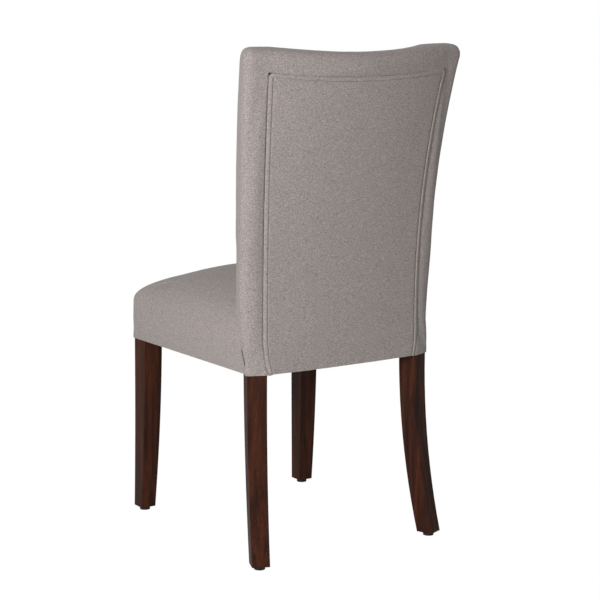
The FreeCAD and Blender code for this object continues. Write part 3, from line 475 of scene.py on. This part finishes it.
# Section beside a post, in the post's own turned plane
def borderPlan(across, side):
    turn = post["turn"]
    x, y = postPoint(across, 0, side)
    hollow = (back["out"] - across) * math.tan(turn * back["foreTurn"])
    return {
        "x": x, "y": y, "heading": (side * math.sin(turn), math.cos(turn)), "across": across, "share": side,
        "front": -back["fore"] - hollow, "rear": back["lag"], "tip": postTip, "top": backTop,
        "flare": back["flare"],
    }


# Space point of a section, drawn in below the full width and along the welt's lower end
def stationPoint(plan, out, height):
    x, y = plan["x"], plan["y"]
    heading = plan["heading"]
    across = plan["across"]
    if across is None:
        x -= plan["share"] * tuckAt(height)
    else:
        turn = post["turn"]
        beside = across - windowAcross
        inward = max(across, 0) * (1 - widthAt(height) / back["out"])
        inward += tuckAt(height) * (1 - smooth(beside / window["tuckRun"]))
        x -= plan["share"] * inward * math.cos(turn)
        y += inward * math.sin(turn)
        y += back["lean"] * max(beside, 0) * smooth((height - back["stepHeight"]) / back["leanRise"])
    return x + heading[0] * out, y + heading[1] * out, height


# Rear face of a section, flared to the hem
def rearOut(plan, height):
    return plan["rear"] + sabre(height, plan["tip"], plan["top"]) + plan["flare"] * belowStep(height)


def frontOut(plan, height):
    return plan["front"] + sabre(height, plan["tip"], plan["top"])


def windowTop(share, grow=0):
    return window["top"] + grow - window["dip"] * (1 - share ** 2)


def creaseAt(near, part):
    return window["crease"] * part * math.exp(-(near / window["creaseWidth"]) ** 2)


# Rows of the rear face: evenly to the window's top, close beside the welt, then on to the rounding
def rearHeights(cut, low):
    rows, above = backRows["rear"], backRows["above"]
    heights = [lerp(hemHeight, cut, row / (rows - 1)) for row in range(rows)]
    heights += [cut + step for step in creaseSteps[1:]]
    return heights + [lerp(cut + creaseSteps[-1], low, row / above) for row in range(1, above + 1)]


# What a point of the rear face adds to the plain section: side rounding, crease and padding
def rearShift(height, cut, beside, inset, part):
    rounding = inset * lerp(back["hemRound"], 1, smooth((height - hemHeight) / back["hemRoundRise"]))
    crease = creaseAt(math.hypot(beside, max(height - cut, 0)), part)
    start, run = back["fillBeside"]
    startAbove, runAbove = back["fillAbove"]
    padded = max(smooth((beside - start) / run), smooth((height - cut - startAbove) / runAbove))
    return -rounding - crease + back["fill"] * padded * smooth((height - hemHeight) / back["fillRise"])


# Foot of a section: wrapped behind the post's front at the border, else closed on the deck
def skirtPoints(plan, inset):
    if (plan["across"] or -1) > post["half"] - 1:
        face = -post["half"] - back["skirtGap"]
        skirt = ((face, deckTop + 1), (face, hemHeight + back["skirtRise"]), (face, hemHeight))
    else:
        skirt = tuple((plan["front"] + inset + step, deckTop + 1.5) for step in (2, 4, 6))
    return [stationPoint(plan, max(out, plan["front"] + inset), height) for out, height in skirt]


# One section: up the rear face, over the top, down the front face to the deck and the hem
def sectionPoints(plan, inset):
    roll = max(back["topRound"] - inset * back["topRoundSide"], back["topRoundLeast"])
    lid = plan["top"] - back["settle"] - inset * back["lidSide"]
    low = lid - roll
    cut = windowTop(plan["share"], windowEdge)
    beside = 0 if plan["across"] is None else max(plan["across"] - windowAcross, 0)
    part = 1 if plan["share"] == 1 else window["creaseSoft"]
    rounds = backRows["round"]
    points = []
    for height in rearHeights(cut, low):
        out = rearOut(plan, height) + rearShift(height, cut, beside, inset, part)
        points.append(stationPoint(plan, out, height))
    rearLid, frontLid = rearOut(plan, lid) - inset + back["fill"], frontOut(plan, lid) + inset
    ridge = (rearLid + frontLid) / 2
    for row in range(1, rounds + 1):
        angle = math.pi / 2 * row / rounds
        height = low + roll * math.sin(angle)
        out = rearOut(plan, height) - inset + back["fill"] - roll * (1 - math.cos(angle))
        points.append(stationPoint(plan, max(out, ridge), height))
    start, stop = max(rearLid - roll, ridge), min(frontLid + roll, ridge)
    for row in range(1, backRows["lid"]):
        share = row / backRows["lid"]
        height = lid + back["lidCrown"] * math.sin(math.pi * share)
        points.append(stationPoint(plan, lerp(start, stop, share), height))
    for row in range(rounds + 1):
        angle = math.pi / 2 * (1 - row / rounds)
        height = low + roll * math.sin(angle)
        out = frontOut(plan, height) + inset + roll * (1 - math.cos(angle))
        points.append(stationPoint(plan, min(out, ridge), height))
    for row in range(1, backRows["front"] + 1):
        height = lerp(low, deckTop + 2, row / backRows["front"])
        points.append(stationPoint(plan, frontOut(plan, height) + inset, height))
    return points + skirtPoints(plan, inset)


# All sections with their insets, from the left side across to the right side
def backSections():
    radius = back["sideRound"]
    edge = back["out"] - radius
    flat = [(windowAcross + step, 0) for step in creaseSteps + borderSteps] + [(edge, 0)]
    for turn in roundTurns:
        angle = math.radians(turn)
        flat.append((edge + radius * math.sin(angle), radius * back["sideFlat"] * (1 - math.cos(angle))))
    left = [(borderPlan(across, 1), inset) for across, inset in reversed(flat)]
    right = [(borderPlan(across, -1), inset) for across, inset in flat]
    count, start = backRows["across"], window["nearWelt"]
    middle = [(middlePlan(start - 2 * start * step / count), 0) for step in range(count + 1)]
    return left + middle + right, len(left) - 1, len(left) + len(middle)


# Faces across the end of a tube, from the loop's first and last points inward
def ladder(start, length):
    faces = []
    low, high = 0, length - 1
    while high - low > 2:
        faces.append((start + low, start + low + 1, start + high - 1, start + high))
        low, high = low + 1, high - 1
    return faces


# Closed form of the back: faces marked 1 close its rear window and its foot
def makeBackForm():
    sections, first, last = backSections()
    columns = [sectionPoints(plan, inset) for plan, inset in sections]
    length = len(columns[0])
    points = [point for column in columns for point in column]
    faces, marks = [], []
    for column in range(len(columns) - 1):
        for row in range(length):
            following = (row + 1) % length
            low, high = column * length, (column + 1) * length
            faces.append((low + row, low + following, high + following, high + row))
            inWindow = first <= column < last and row < backRows["rear"] - 1
            marks.append(1 if inWindow or row == length - 1 else 0)
    for start in (0, (len(columns) - 1) * length):
        ends = ladder(start, length)
        faces += ends
        marks += [0] * len(ends)
    return meshPiece("back_border", points, faces, fabric, marks)


# Points that the marked faces use
def markedPoints(piece):
    marked = [polygon for polygon in piece.data.polygons if polygon.material_index == 1]
    return {index for polygon in marked for index in polygon.vertices}


# Hidden copy, grown along its normals, for cutting
def copyAside(piece, name, grow):
    mesh = piece.data.copy()
    aside = bpy.data.objects.new(name, mesh)
    scene.collection.objects.link(aside)
    normals = [vertex.normal.copy() for vertex in mesh.vertices]
    for vertex, normal in zip(mesh.vertices, normals):
        vertex.co += normal * grow / 1000
    return aside


def dropMarked(piece):
    work = bmesh.new()
    work.from_mesh(piece.data)
    marked = [face for face in work.faces if face.material_index == 1]
    bmesh.ops.delete(work, geom=marked, context="FACES")
    loose = [vertex for vertex in work.verts if not vertex.link_faces]
    bmesh.ops.delete(work, geom=loose, context="VERTS")
    work.to_mesh(piece.data)
    work.free()


def thicken(piece, thickness):
    applyModifier(piece, "SOLIDIFY", thickness=thickness / 1000, offset=-1, use_even_offset=False)


# Point on the back's rear face between the welts
def rearSurface(share, height, proud=0):
    plan = middlePlan(share)
    return stationPoint(plan, rearOut(plan, height) + proud, height)


panelShape = {
    "across": 70,
    "rows": 100,
    "hemGap": 0.3,
    "creaseRight": 0.9,      # share of the welt's crease beside the right welt
    "creaseElse": 0.35,
    "pillow": 1.6,
    "pillowRun": 110,
    "sidePucker": 0.4,
    "sideReach": 20,
    "sidePitch": 5.4,
    "sideDrift": 29,
    "hemPucker": 0.45,
    "hemReach": 15,
    "hemPitch": 47,          # per half width
    "hemDrift": 9,
    "thickness": 1.4,
}


# Pillow and small puckers of the panel, at a share across and a height
def panelRise(share, height, side, near):
    shape = panelShape
    pillow = shape["pillow"] * smooth(near / shape["pillowRun"])
    wave = math.sin(height / shape["sidePitch"] + 2 * math.sin(height / shape["sideDrift"]))
    pucker = shape["sidePucker"] * math.exp(-side / shape["sideReach"]) * wave
    wave = math.sin(share * shape["hemPitch"] + 2 * math.sin(share * shape["hemDrift"]))
    pucker += shape["hemPucker"] * math.exp(-(height - hemHeight) / shape["hemReach"]) * wave
    return pillow + pucker


# Rear panel inside the welt, with closer rows along its edges
def makePanel():
    across, rows = panelShape["across"], panelShape["rows"]
    margin = windowEdge / weltX
    points = []
    edges = [step / weltX for step in creaseSteps]
    inner = [edges[-1] + (2 - 2 * edges[-1]) * step / (across - 1) for step in range(1, across - 1)]
    places = edges + inner + [2 - place for place in reversed(edges)]
    shares = [(1 - place) * (1 - margin) for place in places]
    closeRows = len(creaseSteps) - 1
    for row in range(rows + closeRows):
        past = max(row - rows + 1, 0)
        for share in shares:
            top = windowTop(share, -windowEdge)
            base = top - creaseSteps[-1]
            height = lerp(hemHeight + panelShape["hemGap"], base, min(row / (rows - 1), 1))
            height += creaseSteps[-1] - creaseSteps[-1 - past]
            side = (1 - margin - abs(share)) * weltX
            near = min(side, top - height)
            right = share < 0 and side < top - height
            dip = creaseAt(near, panelShape["creaseRight"] if right else panelShape["creaseElse"])
            points.append(rearSurface(share, height, panelRise(share, height, side, near) - dip))
    return meshPiece("back_panel", points, gridFaces(rows + closeRows, len(shares)), fabric)


weltShape = {
    "corner": 5,
    "proud": 1.7,            # above the back's rear face
    "sunk": 2.4,
    "squareWide": 0.6,       # a lower number is squarer
    "squareDeep": 0.8,
    "sides": 12,
    "steps": 84,             # up each side
    "turns": 7,              # round each corner
    "spans": 40,             # over half the top
}


# Line of the welt as shares and heights, from the left hem over the top to the right hem
def weltPath():
    radius, steps, turns, spans = (weltShape[name] for name in ("corner", "steps", "turns", "spans"))
    corner = windowTop(1) - radius
    half = [(1, lerp(hemHeight - 0.8, corner, step / steps)) for step in range(steps + 1)]
    for step in range(1, turns):
        angle = math.pi / 2 * step / turns
        half.append((1 - radius * (1 - math.cos(angle)) / weltX, corner + radius * math.sin(angle)))
    inner = 1 - radius / weltX
    half += [(inner * (1 - step / spans), windowTop(inner * (1 - step / spans))) for step in range(spans + 1)]
    return half + [(-share, height) for share, height in reversed(half[:-1])]


def squared(number, power):
    return math.copysign(abs(number) ** power, number)


# Flat covered cord between the panel and the borders
def makeWelt():
    path = weltPath()
    spine = [Vector(rearSurface(share, height)) for share, height in path]
    sides = weltShape["sides"]
    points = []
    for index, centre in enumerate(spine):
        tangent = (spine[min(index + 1, len(spine) - 1)] - spine[max(index - 1, 0)]).normalized()
        turn = post["turn"] * path[index][0]
        normal = Vector((math.sin(turn), math.cos(turn), 0))
        normal = (normal - tangent * normal.dot(tangent)).normalized()
        flat = tangent.cross(normal)
        for step in range(sides):
            angle = 2 * math.pi * step / sides
            wide = squared(math.cos(angle), weltShape["squareWide"]) * window["half"]
            bulge = squared(math.sin(angle), weltShape["squareDeep"])
            deep = bulge * (weltShape["proud"] if bulge > 0 else weltShape["sunk"])
            points.append(centre + flat * wide + normal * deep)
    faces = gridFaces(len(spine), sides, closed=True)
    faces.append(tuple(range(sides)))
    faces.append(tuple(range((len(spine) - 1) * sides, len(spine) * sides)))
    return meshPiece("panel_welt", points, faces, fabric)


def hemPinned(co):
    return 1 if co.z < (hemHeight + 3) / 1000 else 0


backForm = makeBackForm()
pins = markedPoints(backForm)
puff(backForm, lambda co, index: 1 if index in pins or hemPinned(co) else 0,
     back["pressure"], back["swell"])
uneven(backForm, back["lump"], back["lumpPitch"], 3, lambda co, index: 0 if index in pins else 1)
keepOut = copyAside(backForm, "keep_out", back["cutGrow"])
dropMarked(backForm)
thicken(backForm, back["thickness"])
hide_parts("back_cover", "back_foam")
panel = makePanel()
thicken(panel, panelShape["thickness"])
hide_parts("outside_back_panel")
welt = makeWelt()
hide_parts("back_welt")
print("back made")

# Shape of the seat, in millimetres

seat = {
    "wide": 228.5,           # centre to the fullest part of the side at the front
    "front": -278.5,
    "rear": 159.4,
    "taper": 13.5,           # each side runs in by this towards the rear
    "draw": 4.6,             # drawn in at the hem
    "drawRise": 44,          # gone this far above the hem
    "corner": 20,
    "cornerHem": 3.5,
    "cornerCurve": 1.3,
    "cornerGrow": 0.45,      # per millimetre of the rings' inset
    "cornerMost": 60,
    "edge": 464,             # height where the side begins to round over
    "shoulder": 30,
    "brow": 497,
    "crown": 543,
    "crownShare": 0.42,      # the crown is reached at this share of the depth
    "fall": 2.6,             # a higher number keeps the crown flat further out
    "pressure": 4,
    "swell": 4.5,
    "lump": 0.6,
    "lumpPitch": 95,
    "thickness": 1.5,
}
sideRises = (0, 3, 6, 10, 15, 21, 27, 33, 40, 47, 54, 61, 68, 75, 83)     # rings above the hem
seatRows = {"side": 62, "corner": 9, "front": 36, "round": 9, "top": 34, "topStep": 5.6}


# Plan outline of the cushion, from the rear left round the front to the rear right
def seatLine(inset, radius):
    slope = seat["taper"] / (seat["rear"] - seat["front"])
    front, wide = seat["front"] + inset, seat["wide"] - inset
    sideCount, turns, frontCount = (seatRows[name] for name in ("side", "corner", "front"))
    corner = (wide - slope * radius - radius, front + radius)
    points = []
    for step in range(sideCount):
        y = lerp(seat["rear"], corner[1], step / sideCount)
        points.append((max(wide - slope * (y - front), 0), y))
    for step in range(turns):
        angle = math.pi / 2 * step / (turns - 1)
        points.append((max(corner[0] + radius * math.cos(angle), 0), corner[1] - radius * math.sin(angle)))
    for step in range(1, frontCount):
        points.append((max(corner[0] * (1 - step / frontCount), 0), front))
    return points + [(0, front)] + [(-x, y) for x, y in reversed(points)]


# Crowned top: it rises from the brow at the front and falls to the shoulders
def crownHeight(x, y):
    along = (y - seat["front"]) / (seat["rear"] - seat["front"])
    wide = seat["wide"] - seat["taper"] * along
    climb = math.sin(math.pi / 2 * min(max(along, 0) / seat["crownShare"], 1))
    ridge = lerp(seat["brow"], seat["crown"], climb)
    return lerp(ridge, seat["edge"] + seat["shoulder"], min(abs(x) / wide, 1) ** seat["fall"])


# Cover of the seat: sides drawn in at the hem, soft shoulders and a crowned top
def makeSeatSkin():
    rings = []
    for height in sideRises:
        share = 1 - smooth(height / seat["drawRise"])
        radius = lerp(seat["corner"], seat["cornerHem"], share ** seat["cornerCurve"])
        line = seatLine(seat["draw"] * share, radius)
        rings.append([(x, y, hemHeight + height) for x, y in line])
    rounds = seatRows["round"]
    angles = [math.pi / 2 * step / rounds for step in range(1, rounds + 1)]
    insets = [seat["shoulder"] * (1 - math.cos(angle)) for angle in angles]
    insets += [seat["shoulder"] + step * seatRows["topStep"] for step in range(1, seatRows["top"] + 1)]
    for inset in insets:
        share = min(inset / seat["shoulder"], 1)
        rise = math.sqrt(1 - (1 - share) ** 2)
        line = seatLine(inset, min(seat["corner"] + inset * seat["cornerGrow"], seat["cornerMost"]))
        rings.append([(x, y, lerp(seat["edge"], crownHeight(x, y), rise)) for x, y in line])
    columns = len(rings[0])
    points = [point for ring in rings for point in ring]
    faces = gridFaces(len(rings), columns)
    faces += ladder((len(rings) - 1) * columns, columns)
    return meshPiece("seat_cushion", points, faces, fabric)


seatSkin = makeSeatSkin()
seatRear = (seat["rear"] - 0.5) / 1000
puff(seatSkin, lambda co, index: 1 if hemPinned(co) or co.y > seatRear else 0,
     seat["pressure"], seat["swell"])
uneven(seatSkin, seat["lump"], seat["lumpPitch"], 7,
       lambda co, index: smooth((co.z * 1000 - hemHeight) / 30))
thicken(seatSkin, seat["thickness"])
applyModifier(seatSkin, "BOOLEAN", operation="DIFFERENCE", object=keepOut, solver="EXACT")
bpy.data.objects.remove(keepOut)
seatSkin.data.shade_smooth()
for skin in (seatSkin, backForm, panel):
    skin.data.set_sharp_from_angle(angle=math.radians(50))
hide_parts("seat_cover", "seat_foam")
print("seat made")

# Dust cloth below the seat, in millimetres

dust = {
    "height": 382.1,
    "drop": 0.4,
    "sag": 1.6,
    "endGap": 0.3,           # short of the frame at the front and the rear
    "legInner": 176.7,       # centre to the front legs' inner faces
    "legBehind": 44.3,       # front of the frame to the front legs' rear faces
    "legGap": 0.6,
    "sideFront": 205.2,      # centre to the covers behind the front legs
    "sideRear": 186.6,       # and before the posts
    "sideGap": 2.5,
    "postFront": 148.0,
    "postInner": 161.5,
    "postGap": 0.8,
    "cutStep": 0.4,          # width of the row where the cloth steps in
    "across": 44,
    "thickness": 0.5,
}
dustBehind = dust["legBehind"] - frontFace


# Half width of the cloth, cut out at the legs
def dustHalfWidth(y):
    if y <= dustBehind:
        return dust["legInner"] - dust["legGap"]
    if y <= dust["postFront"]:
        share = (y - dustBehind) / (dust["postFront"] - dustBehind)
        return lerp(dust["sideFront"], dust["sideRear"], share) - dust["sideGap"]
    return dust["postInner"] - dust["postGap"]


# Rows of the cloth from the front to the rear, close together at the cut-outs
def dustLevels():
    low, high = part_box("dust_cover")
    postFront, cut = dust["postFront"], dust["cutStep"]
    start, stop = low.y * 1000 + dust["endGap"], high.y * 1000 - dust["endGap"]
    breaks = [start, dustBehind, dustBehind + cut, postFront, postFront + cut, stop]
    levels = []
    for start, stop, count in zip(breaks, breaks[1:], (6, 1, 40, 1, 5)):
        levels += [lerp(start, stop, step / count) for step in range(count)]
    return levels + [breaks[-1]]


# Thin cloth stapled under the frame
def makeDustCloth():
    levels = dustLevels()
    across, length = dust["across"], levels[-1] - levels[0]
    points = []
    for y in levels:
        for column in range(across):
            share = 1 - 2 * column / (across - 1)
            along = (y - levels[0]) / length
            sag = dust["sag"] * (1 - share ** 2) * math.sin(math.pi * min(max(along, 0), 1))
            points.append((dustHalfWidth(y) * share, y, dust["height"] - dust["drop"] - sag))
    cloth = meshPiece("dust_cloth", points, gridFaces(len(levels), across), dustWeave)
    thicken(cloth, dust["thickness"])
    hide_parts("dust_cover")
    return levels


staple = {
    "half": 5,               # half length
    "wire": 0.5,             # half width
    "deep": 0.6,
    "drop": 0.95,            # below the cloth's height
    "inset": 6,              # from the cloth's edge
    "count": 9,              # along each side
    "frontReach": 150,
    "rearReach": 140,
    "sideFront": -215,
    "sideRear": 135,
}


# Places and turns of the staples along the edge of the cloth
def stapleSpots(levels):
    spots = []
    last = staple["count"] - 1
    for step in range(staple["count"]):
        share = step / (last / 2) - 1
        spots.append((share * staple["frontReach"], levels[0] + staple["inset"], 0))
        spots.append((share * staple["rearReach"], levels[-1] - staple["inset"], 0))
    for step in range(staple["count"]):
        y = lerp(staple["sideFront"], staple["sideRear"], step / last)
        for side in (1, -1):
            spots.append((side * (dustHalfWidth(y) - staple["inset"]), y, math.pi / 2))
    return spots


def makeStaples(levels):
    half, wire, deep = staple["half"], staple["wire"], staple["deep"]
    height = dust["height"] - staple["drop"]
    points, faces = [], []
    for x, y, turn in stapleSpots(levels):
        start = len(points)
        for along in (-half, half):
            for wide, up in ((-wire, 0), (wire, 0), (wire, -deep), (-wire, -deep)):
                points.append((x + along * math.cos(turn) - wide * math.sin(turn),
                               y + along * math.sin(turn) + wide * math.cos(turn), height + up))
        faces += [(start, start + 1, start + 2, start + 3), (start + 7, start + 6, start + 5, start + 4)]
        faces += [(start + step, start + (step + 1) % 4, start + 4 + (step + 1) % 4, start + 4 + step)
                  for step in range(4)]
    return meshPiece("dust_staples", points, faces, steel)


makeStaples(makeDustCloth())
print("underside made")

# Stage, light and camera, in metres and watts

studio = {
    "keyAzimuth": 55,        # degrees from the back towards the sitter's left
    "keyHeight": 16,
    "keyReach": 3.6,
    "keyPower": 102,
    "keySize": 1.3,
    "keyAim": 0.55,
    "topPlace": (0.1, 0.1, 3.2),
    "topPower": 3,
    "topSize": 2.2,
    "aim": 0.5,
    "world": 0.27,
    "floor": 0.95,           # share of the floor that the camera sees as plain white
    "glow": 1.04,
    "floorReach": 60,
}


def makeStage():
    material, tree, shader = newMaterial("StudioFloor")
    shader.inputs["Base Color"].default_value = (0.86, 0.86, 0.86, 1)
    shader.inputs["Roughness"].default_value = 0.9
    shader.inputs["Specular IOR Level"].default_value = 0.1
    paths = addNode(tree, "ShaderNodeLightPath")
    glow = addNode(tree, "ShaderNodeEmission", {"Color": (1, 1, 1, 1), "Strength": studio["glow"]})
    mix = addNode(tree, "ShaderNodeMixShader")
    share = addNode(tree, "ShaderNodeMath", {0: paths.outputs["Is Camera Ray"], 1: studio["floor"]},
                    operation="MULTIPLY")
    tree.links.new(share.outputs[0], mix.inputs[0])
    tree.links.new(shader.outputs[0], mix.inputs[1])
    tree.links.new(glow.outputs[0], mix.inputs[2])
    tree.links.new(mix.outputs[0], tree.nodes["Material Output"].inputs["Surface"])
    mesh = bpy.data.meshes.new("studio_floor")
    reach = studio["floorReach"]
    corners = [(-reach, -reach, 0), (reach, -reach, 0), (reach, reach, 0), (-reach, reach, 0)]
    mesh.from_pydata(corners, [], [(0, 1, 2, 3)])
    floor = bpy.data.objects.new("studio_floor", mesh)
    scene.collection.objects.link(floor)
    mesh.materials.append(material)


def makeWorld():
    world = bpy.data.worlds.new("Studio")
    scene.world = world
    world.use_nodes = True
    tree = world.node_tree
    ambient = tree.nodes["Background"]
    ambient.inputs["Color"].default_value = (1, 0.985, 0.97, 1)
    ambient.inputs["Strength"].default_value = studio["world"]
    white = addNode(tree, "ShaderNodeBackground", {"Color": (1, 1, 1, 1), "Strength": 1.0})
    paths = addNode(tree, "ShaderNodeLightPath")
    mix = addNode(tree, "ShaderNodeMixShader", {0: paths.outputs["Is Camera Ray"]})
    tree.links.new(ambient.outputs[0], mix.inputs[1])
    tree.links.new(white.outputs[0], mix.inputs[2])
    tree.links.new(mix.outputs[0], tree.nodes["World Output"].inputs["Surface"])


def makeLight(name, place, target, power, width, colour=(1, 1, 1)):
    data = bpy.data.lights.new(name, "AREA")
    data.shape = "DISK"
    data.size = width
    data.energy = power
    data.color = colour
    light = bpy.data.objects.new(name, data)
    scene.collection.objects.link(light)
    light.location = place
    light.rotation_mode = "QUATERNION"
    light.rotation_quaternion = (Vector(target) - Vector(place)).to_track_quat("-Z", "Y")


def makeLights():
    azimuth, height = math.radians(studio["keyAzimuth"]), math.radians(studio["keyHeight"])
    reach, aim = studio["keyReach"], studio["aim"]
    place = (reach * math.sin(azimuth) * math.cos(height), reach * math.cos(azimuth) * math.cos(height),
             aim + reach * math.sin(height))
    makeLight("key_light", place, (0, 0, studio["keyAim"]), studio["keyPower"], studio["keySize"],
              (1, 0.99, 0.98))
    makeLight("top_light", studio["topPlace"], (0, 0, aim), studio["topPower"], studio["topSize"])


view = {
    "azimuth": 146.86,
    "pitch": 10.16,
    "roll": 0.23,
    "place": (1.9701, 3.0548, 1.1338),
    "lens": 107.056,
    "sensor": 36,
    "clip": 60,
}


def makeCamera():
    azimuth, pitch, roll = (math.radians(view[name]) for name in ("azimuth", "pitch", "roll"))
    reach = math.cos(pitch)
    behind = Vector((math.sin(azimuth) * reach, -math.cos(azimuth) * reach, math.sin(pitch)))
    level = (-behind).cross(Vector((0, 0, 1))).normalized()
    upright = level.cross(-behind)
    right = level * math.cos(roll) + upright * math.sin(roll)
    up = upright * math.cos(roll) - level * math.sin(roll)
    data = bpy.data.cameras.new("photo_camera")
    data.sensor_width = view["sensor"]
    data.lens = view["lens"]
    data.clip_end = view["clip"]
    camera = bpy.data.objects.new("photo_camera", data)
    scene.collection.objects.link(camera)
    turn = Matrix((right, up, behind)).transposed().to_4x4()
    camera.matrix_world = Matrix.Translation(view["place"]) @ turn
    scene.camera = camera


makeStage()
makeWorld()
makeLights()
makeCamera()
scene.view_settings.view_transform = "Standard"
print("stage made")
